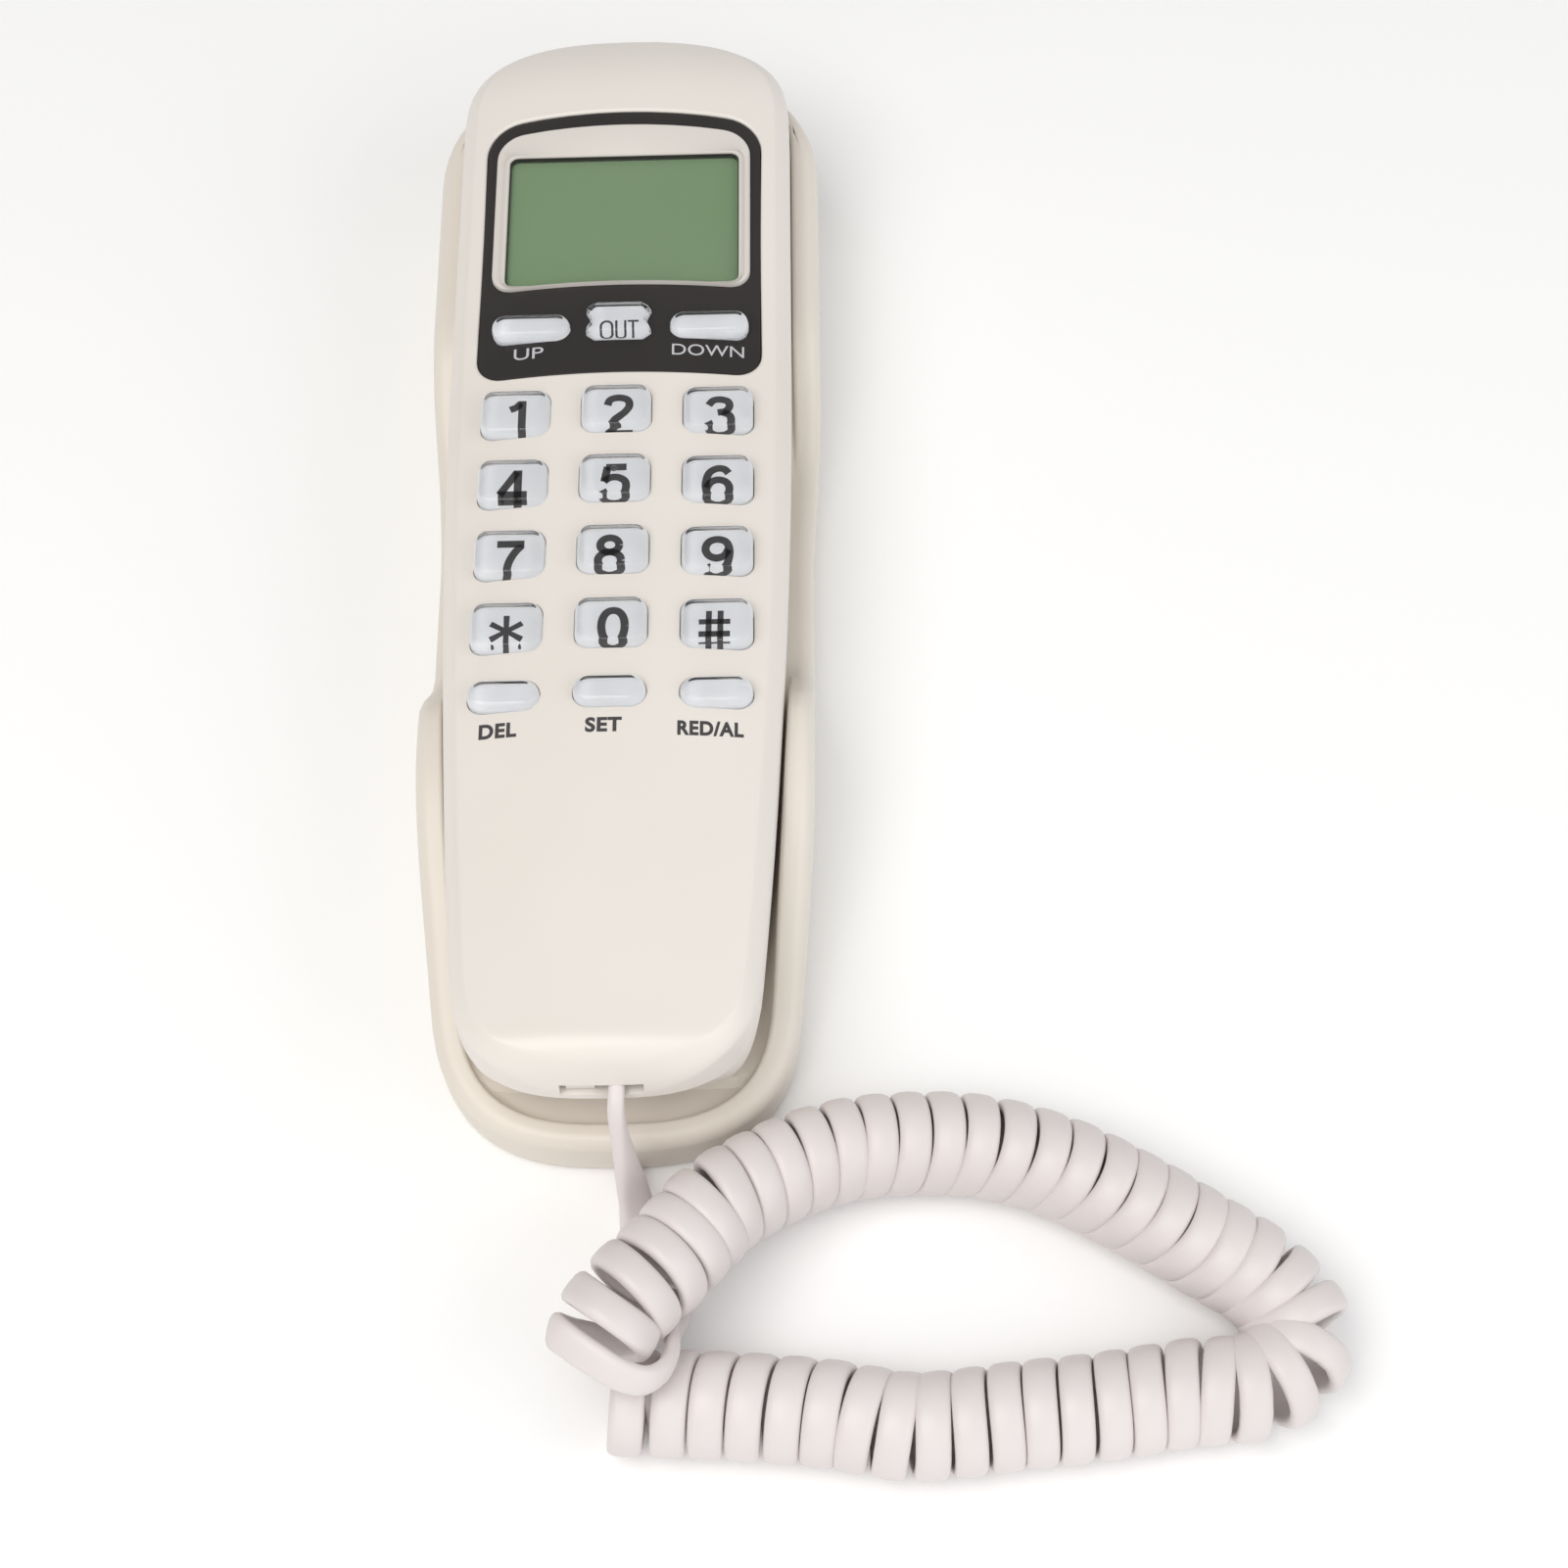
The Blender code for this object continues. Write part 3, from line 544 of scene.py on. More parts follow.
def make_studio():
    world = bpy.data.worlds.new("studio")
    world.use_nodes = True
    world.node_tree.nodes["Background"].inputs["Color"].default_value = (1.0, 1.0, 1.0, 1)
    world.node_tree.nodes["Background"].inputs["Strength"].default_value = 0.43
    bpy.context.scene.world = world
    make_light("key_light", (-0.3, -0.35, 1.0), (0.02, -0.08, 0.0), (0.8, 0.8), 6.7, (1.0, 0.985, 0.96))
    make_light("fill_light", (0.8, -0.35, 0.55), (0.03, -0.05, 0.02), (0.9, 0.8), 2.8, (0.96, 0.98, 1.0))
    make_light("front_light", (0.1, -1.1, 0.5), (0.03, -0.1, 0.02), (1.9, 1.0), 2.4)
    bpy.ops.mesh.primitive_plane_add(size=6.0, location=(0, 0, 0))
    floor = bpy.context.object
    floor.name = "floor"
    floor.data.materials.append(paint("floor_paper", (0.98, 0.98, 0.98), 0.8))


# ---------------------------------------------------------------- cord


# The middle of the coil, from the turn that stands up in front of the telephone, round the bend and back.
COIL_ROUTE = (
    (-0.8, -141.1, 24.2), (0.9, -137.2, 23.4), (4.2, -132.4, 22.0), (8.3, -127.4, 20.0), (12.5, -121.7, 17.6),
    (16.2, -116.6, 15.2), (20.6, -112.6, 12.7), (27.8, -108.1, 10.6), (34.7, -105.3, 9.2), (41.6, -104.0, 8.5),
    (55.4, -104.1, 8.3), (68.1, -107.6, 8.3), (79.8, -113.8, 8.3), (90.3, -120.7, 8.3), (100.2, -127.9, 8.3),
    (104.7, -136.4, 8.3), (98.6, -143.2, 8.3), (86.9, -144.7, 8.3), (74.5, -146.5, 8.3), (62.2, -147.7, 8.3),
    (45.7, -149.2, 8.3), (34.1, -147.2, 8.3), (20.9, -145.8, 8.3), (8.5, -145.1, 8.3), (0.8, -144.9, 8.3),
)
# Each point of a lead has the direction that the ribbon's broad side faces there.
HANDSET_LEAD = (
    ((1.9, -101.4, 29.8), (1.0, 0.0, 0.0)), ((1.8, -103.8, 29.6), (1.0, -0.1, 0.0)),
    ((1.7, -105.8, 28.2), (1.0, -0.2, 0.0)), ((1.9, -107.6, 25.2), (1.0, -0.3, 0.1)),
    ((2.3, -109.4, 21.2), (0.95, -0.45, 0.2)), ((2.8, -111.2, 16.9), (0.85, -0.6, 0.2)),
    ((3.3, -112.8, 13.0), (0.7, -0.75, 0.2)), ((3.9, -114.6, 9.2), (0.5, -0.85, 0.3)),
    ((4.9, -116.4, 6.0), (0.3, -0.8, 0.6)), ((6.4, -118.9, 3.6), (0.1, -0.5, 0.9)),
    ((8.2, -122.5, 2.2), (0.0, -0.1, 1.0)), ((9.0, -126.5, 1.8), (0.0, 0.1, 1.0)),
    ((9.0, -129.9, 3.4), (0.15, 0.4, 0.85)), ((8.7, -132.6, 7.6), (0.6, 0.55, 0.3)),
    ((9.1, -135.4, 13.0), (0.95, 0.2, -0.1)), ((9.7, -139.6, 17.2), (0.95, -0.1, -0.2)),
    ((9.0, -143.9, 20.8), (0.75, -0.6, 0.0)), ((6.2, -146.5, 23.6), (0.25, -0.85, 0.35)),
    ((2.6, -146.0, 25.4), (-0.15, -0.75, 0.6)), ((-0.9, -144.0, 26.4), (-0.35, -0.6, 0.7)),
    ((-4.2, -141.7, 26.6), (-0.5, -0.4, 0.7)), ((-6.7, -139.4, 25.6), (-0.75, -0.1, 0.6)),
)
BASE_LEAD = (
    ((3.0, -136.2, 1.5), (0.0, 0.0, -1.0)), ((2.8, -129.0, 2.2), (0.15, 0.0, -1.0)),
    ((2.3, -121.0, 2.9), (0.9, 0.0, -0.4)), ((1.7, -113.0, 2.9), (1.0, 0.0, 0.0)),
    ((1.6, -106.0, 2.9), (1.0, 0.0, 0.0)), ((1.8, -101.0, 3.2), (1.0, 0.0, 0.0)),
    ((2.7, -94.0, 4.4), (1.0, 0.0, 0.0)), ((2.7, -90.0, 5.1), (1.0, 0.0, 0.0)),
)
RIBBON = (5.05, 2.6)  # width and thickness
TURN_RADIUS = 6.85
FIRST_PHASE = math.radians(180)
LAST_PHASE = math.radians(270)
RING_SPACING = 1.15
CORNERS = 14  # points round the ribbon's section
SQUARENESS = 2.8  # of the section, where 2 is an ellipse
UPRIGHT = Vector((0.026, -0.484, 0.875))  # the raised turns stand across this direction


def curve_through(points, spacing):
    """Even samples of a smooth curve through points.

    A point may have more than three numbers, and distance counts the first three.
    """
    knots = [list(p) for p in points]
    first = [2 * a - b for a, b in zip(knots[0], knots[1])]
    last = [2 * a - b for a, b in zip(knots[-1], knots[-2])]
    knots = [first, *knots, last]
    fine = []
    for before, a, b, after in zip(knots, knots[1:], knots[2:], knots[3:]):
        lengths = [max(1e-6, math.dist(p[:3], q[:3])) ** 0.5 for p, q in ((before, a), (a, b), (b, after))]
        d0, d1, d2 = lengths
        start = [(q - p) / d0 - (r - p) / (d0 + d1) + (r - q) / d1 for p, q, r in zip(before, a, b)]
        end = [(q - p) / d1 - (r - p) / (d1 + d2) + (r - q) / d2 for p, q, r in zip(a, b, after)]
        steps = 40
        for k in range(steps):
            t = k / steps
            weights = (2 * t**3 - 3 * t**2 + 1, t**3 - 2 * t**2 + t, 3 * t**2 - 2 * t**3, t**3 - t**2)
            fine.append([
                weights[0] * p + weights[1] * m * d1 + weights[2] * q + weights[3] * n * d1
                for p, m, q, n in zip(a, start, b, end)
            ])
    fine.append(knots[-2])
    total = sum(math.dist(p[:3], q[:3]) for p, q in zip(fine, fine[1:]))
    count = max(2, round(total / spacing))
    even, walked, goal = [fine[0]], 0.0, total / count
    for p, q in zip(fine, fine[1:]):
        step = math.dist(p[:3], q[:3])
        while walked + step >= goal * len(even) and len(even) < count:
            share = (goal * len(even) - walked) / step
            even.append([u + (v - u) * share for u, v in zip(p, q)])
        walked += step
    even.append(fine[-1])
    return even


def pitch_at(s, total):
    """How far apart the turns lie: loose at both ends and round the bend, close between."""
    loose = 0.95 * smooth(s, 24.0, 8.0) + 0.35 * smooth(s, 44.0, 30.0)
    end = 0.4 * smooth(s, total - 50.0, total - 25.0) + 0.5 * smooth(s, total - 14.0, total - 6.0)
    return 5.05 + loose + 0.2 * smooth(s, 118.0, 132.0) + end


def coil_points():
    """The helix's points, each with the way its broad side faces."""
    axis = curve_through(COIL_ROUTE, 0.25)
    spacing = sum(math.dist(a, b) for a, b in zip(axis, axis[1:])) / (len(axis) - 1)
    total = spacing * (len(axis) - 1)
    turns = 0.0
    at = [0.0]
    for k in range(len(axis) - 1):
        turns += spacing / pitch_at(k * spacing, total)
        at.append(turns)
    whole = math.floor(turns - 0.1) + (LAST_PHASE - FIRST_PHASE) / math.tau
    found = []
    steps = round(whole * math.tau * TURN_RADIUS / RING_SPACING)
    k = 0
    for i in range(steps + 1):
        goal = turns * i / steps
        while k < len(at) - 2 and at[k + 1] < goal:
            k += 1
        share = (goal - at[k]) / (at[k + 1] - at[k])
        centre = Vector(axis[k]).lerp(Vector(axis[k + 1]), share)
        low, high = Vector(axis[max(0, k - 6)]), Vector(axis[min(len(axis) - 1, k + 7)])
        along = (high - low).normalized()
        side = along.cross(Vector((0, 0, 1))).normalized()
        up = side.cross(along)
        turn = whole * i / steps
        phase = FIRST_PHASE + math.tau * turn
        wobble = 0.1 * math.sin(turn * 2.1 + 0.7) + 0.06 * math.sin(turn * 5.3)
        walked = k * spacing
        out = side * math.cos(phase) + up * math.sin(phase)
        away = along.dot(UPRIGHT)
        across = (UPRIGHT - along * away).normalized()
        # Each turn leans: its top bulges forward, and near the first turn its sides slant too.
        bulge = 0.28 + 0.14 * smooth(walked, 2.0, 18.0) - 0.12 * smooth(walked, 35.0, 65.0)
        shear = 0.1 + ((bulge + away) / math.sqrt(1 - away * away) - 0.1) * smooth(walked, 150.0, 105.0)
        slant = (0.17 * smooth(walked, 34.0, 20.0) + 0.1 * smooth(walked, 150.0, 172.0)) * math.cos(phase)
        place = centre + out * TURN_RADIUS + along * (wobble + (shear * out.dot(across) + slant) * TURN_RADIUS)
        found.append((*place, *out))
    return found


def ribbon_section():
    """The ribbon's cross section, a rounded rectangle."""
    section = []
    for k in range(CORNERS):
        a = math.tau * (k + 0.5) / CORNERS
        c, s = math.cos(a), math.sin(a)
        section.append((
            math.copysign(abs(c) ** (2 / SQUARENESS), c) * RIBBON[0] / 2,
            math.copysign(abs(s) ** (2 / SQUARENESS), s) * RIBBON[1] / 2,
        ))
    return section


def cord_route():
    """Points along the whole cord, each with the way its broad side faces: lead, coil and tail."""
    helix = coil_points()
    lead = [(*p, *n) for p, n in HANDSET_LEAD]
    tail = [(*p, *n) for p, n in BASE_LEAD]
    start = curve_through(lead + helix[5:40:7], RING_SPACING)
    cut_at = min(range(len(start)), key=lambda i: math.dist(start[i][:3], helix[22][:3]))
    end = curve_through(helix[-30:-5:8] + tail, RING_SPACING)
    begin_at = min(range(len(end)), key=lambda i: math.dist(end[i][:3], helix[-22][:3]))
    return start[:cut_at] + helix[22:-22] + end[begin_at:]


def make_cord():
    route = cord_route()
    points = [Vector(p[:3]) for p in route]
    facing = [Vector(p[3:]) for p in route]
    profile = ribbon_section()
    skin = Skin()
    rings = []
    length = sum((b - a).length for a, b in zip(points, points[1:]))
    walked = 0.0
    for i, place in enumerate(points):
        before, after = points[max(0, i - 1)], points[min(len(points) - 1, i + 1)]
        along = (after - before).normalized()
        walked += (place - before).length
        across = along.cross(facing[i]).normalized()
        out = across.cross(along)
        left = length - walked
        # The ribbon is narrow at its plugs, and a little wider over the first and last turns.
        wide = 0.46 + 0.54 * smooth(walked, 5.0, 22.0) * smooth(left, 2.0, 12.0)
        wide *= 1 + 0.07 * (smooth(walked, 420.0, 330.0) + smooth(left, 480.0, 400.0))
        rings.append(skin.loop([tuple(place + across * (a * wide) + out * b) for a, b in profile]))
    skin.chain(rings)
    skin.cap(rings[0])
    skin.cap(rings[-1])
    cord = piece("curly_cord", skin.bm, materials["cord"], None, sharp=60.0)
    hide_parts("cord_coil", "cord_lead_handset", "cord_lead_table", "cord_lead_base")
    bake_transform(cord)
    print("cord length", round(length), "mm,", len(points), "rings")


# ---------------------------------------------------------------- handset


# The edge of the face: how far in from the side, and how far it has fallen there.
EDGE = (
    (0.0, 3.3), (0.06, 2.8), (0.2, 2.35), (0.45, 1.9), (0.8, 1.45), (1.3, 0.95), (1.9, 0.42), (2.3, 0.14), (2.6, 0.03),
    (2.9, 0.0),
)


def make_front():
    skin = Skin()

    def edge(inset, drop):
        return skin.ring(HANDSET, inset, lambda x, y: max(PARTING_Z + 0.4 + 0.1 * inset, face_z(x, y) - drop))

    outer = [
        skin.ring(HANDSET, 0.25, lambda x, y: PARTING_Z),
        skin.ring(HANDSET, 0.0, lambda x, y: PARTING_Z + 0.25),
        *[edge(inset, drop) for inset, drop in EDGE],
    ]
    skin.chain(outer)
    skin.fill(outer[-1], spread(44), lambda x, y, s: face_z(x, y))
    inner = [
        skin.ring(HANDSET, 2.0, lambda x, y: PARTING_Z),
        skin.ring(HANDSET, 2.2, lambda x, y: max(PARTING_Z + 0.3, face_z(x, y) - 3.2)),
        skin.ring(HANDSET, 3.2, lambda x, y: max(PARTING_Z + 0.35, face_z(x, y) - 2.2)),
    ]
    skin.chain([outer[0], *inner])
    skin.fill(inner[-1], spread(20), lambda x, y, s: max(PARTING_Z + 0.4, face_z(x, y) - 2.0))
    shell = piece("handset_front", skin.bm, materials["shell"], FRONT, ["handset_front_shell"])
    holes = [prism(key_outline(name, KEY_PLAY), 32.0, 45.0) for name in keys if name not in MENU_KEYS]
    slot = box((-6.8, 6.0), (-110.0, -100.4), (28.5, 31.0))
    cut(shell, prism(arched(OVERLAY, 0.65), 30.0, 45.0), *holes, slot)
    weigh_normals(shell)
    lip = [
        (0.0, 0.0, 0.0), (0.0, 0.15, -0.02), (0.0, 0.35, -0.12), (0.0, 0.5, -0.28), (0.0, 0.56, -0.45),
        (0.0, 0.58, -1.6), (0.0, 0.0, -1.6),
    ]
    bm = annulus(arched(OVERLAY, 0.66), arched(OVERLAY, -2.0), (0.0, 53.0), lip, 280)
    piece("panel_surround", bm, materials["shell"], FRONT)


# The side of the back: how far in, and the share of the way up to the parting line.
FLANK = (
    (0.75, 1.0), (0.3, 0.975), (0.45, 0.8), (0.9, 0.6), (1.7, 0.4), (2.8, 0.24), (4.1, 0.125), (5.7, 0.05),
    (7.6, 0.012), (9.6, 0.0),
)
EAR_Y = 78.0
MOUTH_Y = -80.0
SCREW_YS = (33.0, -42.0)


def make_back():
    skin = Skin()

    def level(share):
        def height(x, y):
            low = underside_z(y)
            return low + (PARTING_Z - GAP - low) * share
        return height

    rings = [skin.ring(HANDSET, inset, level(share)) for inset, share in FLANK]
    skin.chain(rings)
    skin.fill(rings[-1], spread(12), lambda x, y, s: underside_z(y))
    inner = [
        skin.ring(HANDSET, 2.4, lambda x, y: PARTING_Z - GAP),
        skin.ring(HANDSET, 5.0, lambda x, y: min(PARTING_Z - 0.4, underside_z(y) + 6.0)),
        skin.ring(HANDSET, 9.0, lambda x, y: min(PARTING_Z - 0.5, underside_z(y) + 2.0)),
    ]
    skin.chain([rings[0], *inner])
    skin.fill(inner[-1], spread(8), lambda x, y, s: min(PARTING_Z - 0.5, underside_z(y) + 2.0))
    shell = piece("handset_back", skin.bm, materials["shell"], FRONT, ["handset_rear_shell"])
    middle = (0.0, EAR_Y)
    ear_holes = [*circle(5.0, middle, 6), middle, *circle(9.5, middle, 12)]
    ear = [prism(circle(1.1, p, 16), 5.0, 11.5) for p in ear_holes]
    mouth = prism(circle(0.9, (0.0, MOUTH_Y), 16), 8.0, 15.0)
    screws = [prism(circle(3.3, (0.0, y), 24), 10.0, 17.0) for y in SCREW_YS]
    cut(shell, *ear, mouth, *screws)
    weigh_normals(shell)


def make_display():
    centre = (0.0, 61.0)
    dark = [(0.0, 0.0, -1.4), (0.0, 0.0, -0.5), (0.0, 0.06, -0.36), (0.0, 0.2, -0.3)]
    dark += [(share, 0.2 * (1 - share), -0.3) for share in (0.15, 0.3, 0.45, 0.6, 0.75, 0.9)]
    dark += [(1.0, 0.0, -0.3), (1.0, 0.0, -1.4)]
    bm = annulus(arched(OVERLAY, 0.05), arched(BEZEL, -0.8), centre, dark, 320)
    overlay = piece("display_panel", bm, materials["panel"], FRONT, ["display_overlay"])
    cut(overlay, *[prism(key_outline(name, KEY_PLAY), 30.0, 45.0) for name in MENU_KEYS])
    weigh_normals(overlay)
    frame_top = [
        (0.0, 0.0, -0.6), (0.0, 0.0, 0.25), (0.0, 0.07, 0.5), (0.0, 0.25, 0.7), (0.0, 0.5, 0.78),
        (0.5, 0.0, 0.6), (1.0, -0.5, 38.0), (1.0, -0.2, 37.95), (1.0, -0.05, 37.8),
        (1.0, 0.0, 37.6), (1.0, 0.0, 35.6), (0.9, 0.0, 35.6),
    ]
    bm = annulus(arched(BEZEL), rectangle(*GLASS, GLASS_PLACE), (0.0, 59.5), frame_top, 320)
    bezel = piece("display_frame", bm, materials["frame"], FRONT, ["display_bezel"])
    weigh_normals(bezel)
    make_glass()


def make_glass():
    """The flat window, the dark rim round it and the liquid crystal under it."""
    place = GLASS_PLACE
    rim = [(0.0, 0.0, 37.55), (1.0, 0.0, 37.5), (1.0, 0.0, 36.3), (0.0, 0.0, 36.3)]
    bm = annulus(rectangle(*GLASS, place, 0.05), rectangle(*GLASS, place, -0.16), place, rim, 240)
    piece("window_rim", bm, materials["panel"], FRONT)
    window = prism(rectangle(*GLASS, place, -0.1), 36.75, 37.0)
    piece("window", window, materials["window"], FRONT, ["display_window"])
    crystal = prism(rectangle(*GLASS, place, 0.02), 34.6, 36.45)
    piece("liquid_crystal_panel", crystal, materials["lcd"], FRONT, ["lcd_panel"])


# ---------------------------------------------------------------- keys


def read_keys():
    """Where each key is, from its node's box."""
    found = {}
    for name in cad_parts:
        if name.startswith("key_"):
            low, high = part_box(name)
            found[name[4:]] = ((low.x + high.x) / 2 / MM, (low.y + high.y) / 2 / MM)
    return found


def key_shape(name):
    """A key's width, length and corner radius."""
    if name in FUNCTION_KEYS:
        return (11.7, 5.4, 2.68)
    if name in MENU_KEYS:
        return (13.4, 4.9, 2.42)
    return (11.7, 8.9, 2.3)


def key_outline(name, grow=0.0):
    if name == "out":
        return out_key_outline(keys[name], grow)
    return rectangle(*key_shape(name), keys[name], grow)


KEY_PLAY = 0.16  # between a key and its hole
PAD_DEPTH = 0.9  # of the silver print, under the face
KEY_RISE = 1.8


def make_key(name):
    """A clear cap with the silver print and the mark under it; the silver pad glows faintly, which is painted light
    for the light that comes through the cap.
    """
    x = keys[name][0]
    surface = crown_z(x)
    pad = surface - PAD_DEPTH
    top = surface + KEY_RISE
    small = name in PLAIN_KEYS
    soft = 1.2 if small else 0.85
    shoulder = 0.12 if small else 0.08
    curve = top - shoulder - (surface + 0.6)
    levels = [(0.0, pad - 0.3), (0.0, surface + 0.2)]
    for k in range(9):
        a = math.pi / 2 * k / 8
        levels.append((-0.12 - (soft - 0.12) * (1 - math.cos(a)), top - shoulder - curve * (1 - math.sin(a))))
    levels += [(-soft - 0.45, top - 0.04), (-soft - 0.95, top)]
    skin = Skin()
    rings = [skin.loop([(px, py, z) for px, py in key_outline(name, grow)]) for grow, z in levels]
    skin.chain(rings)
    skin.cap(rings[0])
    skin.cap(rings[-1])
    body = f"key_{name}"
    cap = piece(f"cap_{name}", skin.bm, materials["clear"], body, [body], sharp=50.0)
    weigh_normals(cap)
    settle(cap, 50.0)
    silver = prism(key_outline(name, -0.4), pad - 2.0, pad)
    piece(f"pad_{name}", silver, materials["foil"], body)
    if not small:
        make_mark(name, pad)
    if name == "5":
        make_dot(top)


def make_mark(name, pad):
    """A key's print, just over its silver pad."""
    x, y = keys[name]
    if name == "out":
        place = (x + 0.1, y - 1.1)
        make_text("print_out", "OUT", place, 2.5, "key_out", "ink", pad + 0.01, 0.012, 0.9)
        return
    if name == "star":
        star = prism(star_outline((x, y - 0.5), 2.95, 0.43), pad - 0.01, pad + 0.03)
        piece("print_star", star, materials["ink"], "key_star", sharp=20.0)
        return
    weight, wide = (0.95, 0.88) if name == "hash" else (1.32, 0.97)
    shift = PRINT_SHIFT.get(name, 0.0)
    for i, (smoothed, path) in enumerate(GLYPHS[name]):
        points = [(x + shift + px * wide, y - 0.6 + py * 1.02, 0.0) for px, py in path]
        mark = stroke(curve_through(points, 0.3) if smoothed else points, weight, pad + 0.03)
        piece(f"print_{name}_{i}", mark, materials["ink"], f"key_{name}", sharp=20.0)


def make_dot(top):
    """The raised dot that a finger finds the 5 by."""
    x, y = keys["5"]
    dot = Skin()
    rings = []
    for k in range(5):
        a = math.pi / 2 * k / 5
        height = top - 0.02 + 0.2 * math.sin(a)
        rings.append(dot.loop([(px, py, height) for px, py in circle(0.6 * math.cos(a), (x, y + 0.9), 16)]))
    dot.chain(rings)
    dot.cap(rings[0])
    dot.cap(rings[-1])
    piece("dot_on_5", dot.bm, materials["clear"], "key_5")


def around(x, y, wide, tall):
    """A closed loop, as points."""
    turns = [math.tau * k / 16 for k in range(17)]
    return [(x + wide * math.cos(a), y + tall * math.sin(a)) for a in turns]


def squared_loop(wide, tall, power):
    """A closed loop with fuller sides than an ellipse, as points."""
    turns = [math.tau * k / 20 for k in range(21)]
    return [(wide * math.copysign(abs(math.cos(a)) ** power, math.cos(a)), tall * math.sin(a)) for a in turns]


SIX = (
    (1.85, 1.9), (1.1, 2.7), (-0.1, 2.85), (-1.4, 2.1), (-2.0, 0.4), (-2.0, -1.1), (-1.4, -2.4), (0.0, -2.85),
    (1.4, -2.4), (2.0, -1.05), (1.4, 0.2), (0.1, 0.65), (-1.2, 0.2), (-1.85, -0.9),
)
# How far to the right of a key's middle its mark is.
PRINT_SHIFT = {"0": 0.35, "1": 0.5, "2": 0.4, "3": 0.3, "8": -0.5, "hash": -0.4}
# The marks on the keys, in strokes: whether a stroke is curved, and its points from the key's middle.
GLYPHS = {
    "0": ((True, squared_loop(1.95, 2.85, 0.85)),),
    "1": ((False, ((0.6, -3.45), (0.6, 3.45))), (True, ((-1.5, 1.7), (-0.4, 2.2), (0.35, 3.0)))),
    "2": (
        (True, ((-1.95, 1.4), (-1.5, 2.45), (0.0, 2.85), (1.5, 2.4), (1.85, 1.3), (1.1, 0.0), (-0.5, -1.3),
                (-1.7, -2.7))),
        (False, ((-2.3, -2.8), (2.4, -2.8))),
    ),
    "3": (
        (True, ((-1.95, 1.75), (-1.2, 2.65), (0.0, 2.85), (1.35, 2.4), (1.65, 1.45), (1.0, 0.5), (-0.4, 0.25))),
        (True, ((0.4, 0.3), (1.6, -0.3), (1.95, -1.3), (1.5, -2.4), (0.0, -2.85), (-1.4, -2.5), (-2.05, -1.4))),
    ),
    "4": (
        (False, ((0.9, -3.45), (0.9, 3.35))), (False, ((0.75, 3.05), (-2.15, -1.3))),
        (False, ((-2.45, -1.35), (2.5, -1.35))),
    ),
    "5": (
        (False, ((-1.5, 2.8), (2.0, 2.8))), (False, ((-1.2, 2.9), (-1.75, 0.0))),
        (True, ((-1.8, 0.05), (-0.8, 0.75), (0.6, 0.8), (1.8, 0.0), (1.95, -1.3), (1.3, -2.5), (0.0, -2.85),
                (-1.4, -2.5), (-2.05, -1.5))),
    ),
    "6": ((True, SIX),),
    "7": ((False, ((-2.15, 2.8), (2.45, 2.8))), (True, ((2.0, 2.5), (0.7, 0.9), (-0.2, -1.1), (-0.5, -3.4)))),
    "8": ((True, around(0.0, 1.5, 1.6, 1.35)), (True, around(0.0, -1.35, 1.95, 1.5))),
    "9": ((True, [(-x, -y) for x, y in SIX]),),
    "hash": (
        (False, ((-1.15, -3.1), (-1.0, 3.1))), (False, ((1.0, -3.1), (1.15, 3.1))),
        (False, ((-2.85, 1.1), (2.9, 1.1))), (False, ((-2.9, -1.1), (2.85, -1.1))),
    ),
}


def stroke(points, width, z):
    """A flat mark of even width along points."""
    places = [Vector(p[:2]) for p in points]
    skin = Skin()
    rows = []
    for i, place in enumerate(places):
        along = places[min(len(places) - 1, i + 1)] - places[max(0, i - 1)]
        across = Vector((-along.y, along.x)).normalized() * width / 2
        rows.append([
            skin.bm.verts.new((*(place + across * side), height))
            for side, height in ((1, z - 0.04), (1, z), (-1, z), (-1, z - 0.04))
        ])
    skin.chain(rows)
    skin.cap(rows[0])
    skin.cap(rows[-1])
    return skin.bm


def star_outline(centre, reach, half_width):
    """Six bars that meet in the middle."""
    outline = []
    for k in range(6):
        arm = Matrix.Rotation(math.tau * (k + 0.5) / 6, 2)
        for p in ((reach, -half_width * 1.15), (reach, half_width * 1.15), (half_width * 1.732, half_width)):
            corner = arm @ Vector(p)
            outline.append((centre[0] + corner.x, centre[1] + corner.y))
    return outline


def make_text(name, text, centre, height, body, ink, z, weight=0.0, stretch=1.0):
    """Lettering centred on a place: z is over the crowned face under FROM_FACE, and else over the table."""
    curve = bpy.data.curves.new(name, "FONT")
    curve.body = text
    curve.size = 1.0
    curve.offset = weight
    curve.space_character = 1 + 2.2 * weight
    curve.resolution_u = 6
    curve.extrude = 0.012
    made = bpy.data.objects.new(name, curve)
    bpy.context.scene.collection.objects.link(made)
    mesh = bpy.data.meshes.new_from_object(made.evaluated_get(bpy.context.evaluated_depsgraph_get()))
    bpy.data.objects.remove(made)
    bm = bmesh.new()
    bm.from_mesh(mesh)
    bpy.data.meshes.remove(mesh)
    bmesh.ops.remove_doubles(bm, verts=bm.verts, dist=1e-5)
    xs, ys = [v.co.x for v in bm.verts], [v.co.y for v in bm.verts]
    scale = height / (max(ys) - min(ys))
    middle = Vector(((max(xs) + min(xs)) / 2, (max(ys) + min(ys)) / 2, 0))
    for v in bm.verts:
        x = (v.co.x - middle.x) * scale * stretch + centre[0]
        y = (v.co.y - middle.y) * scale + centre[1]
        lift = 0.02 if v.co.z > 0 else -0.02
        v.co = (x, y, (crown_z(x) + z if z < FROM_FACE else z) + lift)
    return piece(name, bm, materials[ink], body, sharp=20.0)


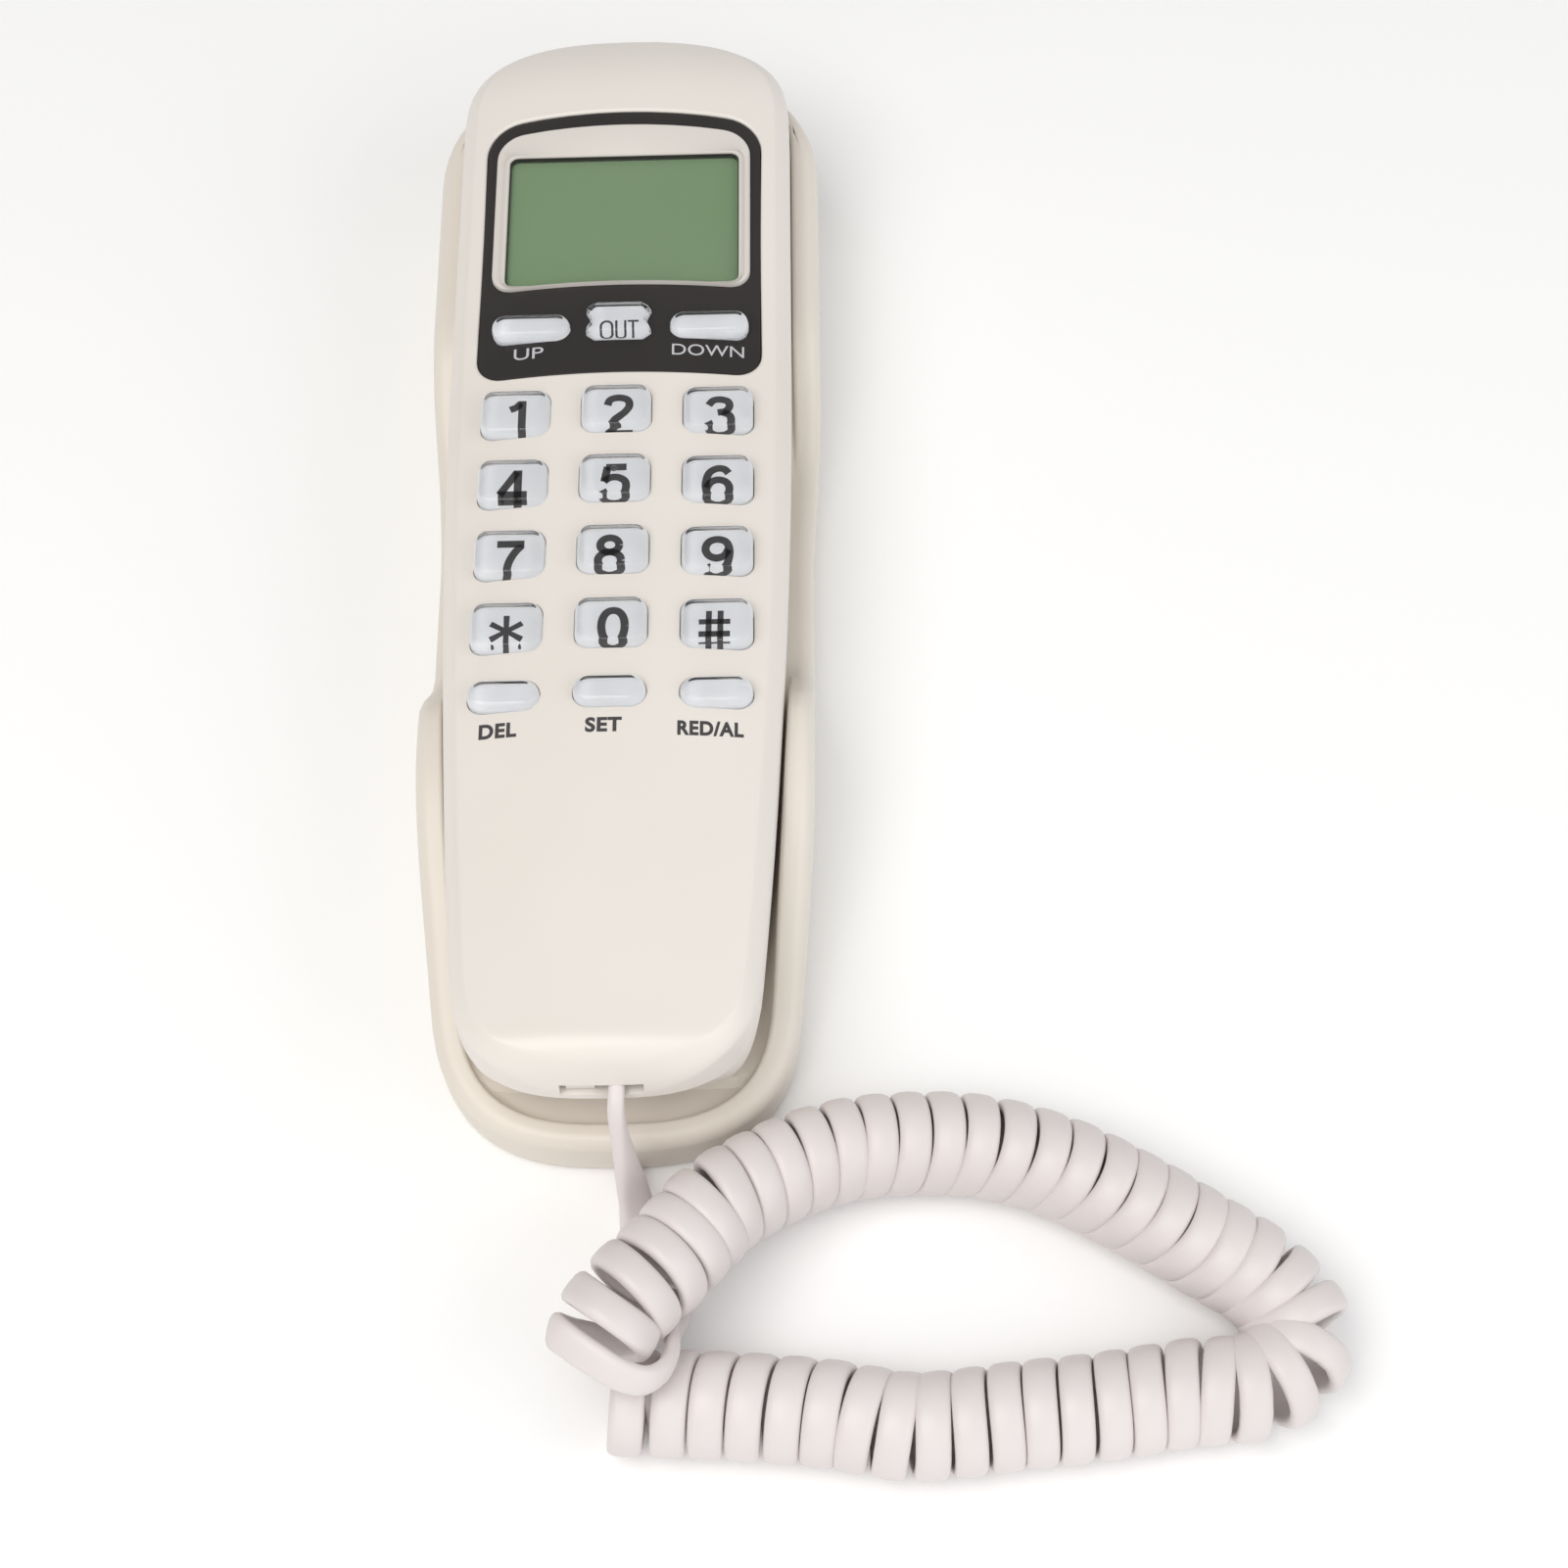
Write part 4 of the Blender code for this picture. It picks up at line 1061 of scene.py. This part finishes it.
def make_labels():
    for name, text, place, wide in (
        ("label_del", "DEL", (-17.7, -44.1), 0.94), ("label_set", "SET", (-0.8, -44.0), 1.0),
        ("label_redial", "RED/AL", (16.1, -44.6), 0.86),
    ):
        make_text(name, text, place, 2.7, FRONT, "ink", 0.03, 0.038, wide)
    for name, text, place, wide in (
        ("label_up", "UP", (-15.3, 29.7), 1.33), ("label_down", "DOWN", (15.2, 29.5), 1.14),
    ):
        make_text(name, text, place, 2.3, FRONT, "pale_ink", -0.27, 0.0, wide)


# ---------------------------------------------------------------- cradle


def wall_share(share):
    """How the pocket's side rises from its floor (0) to its edge (1), share of the way out."""
    curve = ((0.0, 0.0), (0.72, 0.0), (0.8, 0.04), (0.85, 0.1), (0.9, 0.2), (0.95, 0.42), (0.98, 0.68), (1.0, 1.0))
    for (a, low), (b, high) in zip(curve, curve[1:]):
        if share <= b:
            return low + (high - low) * (share - a) / (b - a)
    return 1.0


RIM_ROUNDING = 2.6
POCKET_ROUNDING = 0.8
FLOOR_SHARES = (1.0, 0.99, 0.98, 0.965, 0.95, 0.925, 0.9, 0.875, 0.85, 0.8, 0.72, 0.5, 0.25)


def pocket_lip(y):
    """How deep the rounding of the pocket's edge goes, which is less where the pocket is shallow."""
    return min(POCKET_ROUNDING, max(0.0, rim_z(y) - pocket_floor_z(y)))


def make_cradle():
    skin = Skin()
    rings = [
        skin.ring(CRADLE, 1.3, lambda x, y: 0.0),
        skin.ring(CRADLE, 0.85, lambda x, y: 0.25),
        skin.ring(CRADLE, 0.4, lambda x, y: 0.18 * rim_z(y)),
        skin.ring(CRADLE, 0.1, lambda x, y: 0.42 * rim_z(y)),
    ]
    for k in range(8):
        a = math.pi / 2 * k / 7
        inset = RIM_ROUNDING * (1 - math.cos(a)) * 0.95
        rings.append(skin.ring(CRADLE, inset, lambda x, y, a=a: rim_z(y) - RIM_ROUNDING * (1 - math.sin(a))))
    for k in range(5):
        a = math.pi / 2 * k / 4
        out = POCKET_ROUNDING * (1 - math.sin(a))
        rings.append(skin.ring(POCKET, -out, lambda x, y, a=a: rim_z(y) - (1 - math.cos(a)) * pocket_lip(y)))
    skin.chain(rings)

    def floor(x, y, share):
        top = rim_z(y) - pocket_lip(y)
        low = min(top, pocket_floor_z(y))
        return low + (top - low) * wall_share(abs(share))

    skin.fill(rings[-1], [*FLOOR_SHARES, 0.0, *[-s for s in reversed(FLOOR_SHARES)]], floor)
    cavity = [
        skin.ring(CRADLE, 3.2, lambda x, y: 0.0),
        skin.ring(CRADLE, 3.2, lambda x, y: cavity_roof_z(y)),
    ]
    skin.chain([rings[0], *cavity])
    skin.fill(cavity[-1], spread(6), lambda x, y, s: cavity_roof_z(y))
    cradle = piece("cradle_body", skin.bm, materials["cradle"], BASE, ["cradle_shell"], sharp=40.0)
    plunger_hole = prism(circle(3.0, (0.0, 8.0), 32), 9.5, 20.0)
    cord_notch = box((-0.1, 3.3), (-115.0, -100.5), (-2.0, 5.7))
    cut(cradle, plunger_hole, cord_notch)
    weigh_normals(cradle)


# ---------------------------------------------------------------- carried over from the frame

# What the pieces that keep their CAD shape are made of.
FINISH = dict(
    shell=["ringer_switch_knob"], cradle=["back_plate", "hook_plunger"], window=["display_window"], lcd=["lcd_panel"],
    clear=["handset_plug", "base_plug"], board=["main_board", "base_board"], rubber=["keypad_mat"],
    black=["receiver_capsule", "handset_jack", "base_jack", "line_jack", "hook_switch_body"],
    metal=["microphone_capsule", "ringer_disc", "ballast_weight", "ringer_switch_body", "handset_screw_upper",
           "handset_screw_lower", "base_screw_upper", "base_screw_lower"],
)


def finish_nodes():
    for finish, names in FINISH.items():
        for name in names:
            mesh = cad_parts[name].data
            mesh.materials.clear()
            mesh.materials.append(materials[finish])


materials = make_materials()
make_camera()
make_cord()
keys = read_keys()
make_front()
make_back()
make_display()
for key_name in sorted(keys):
    make_key(key_name)
make_labels()
make_cradle()
finish_nodes()
make_studio()
bpy.context.scene.view_settings.view_transform = "Standard"
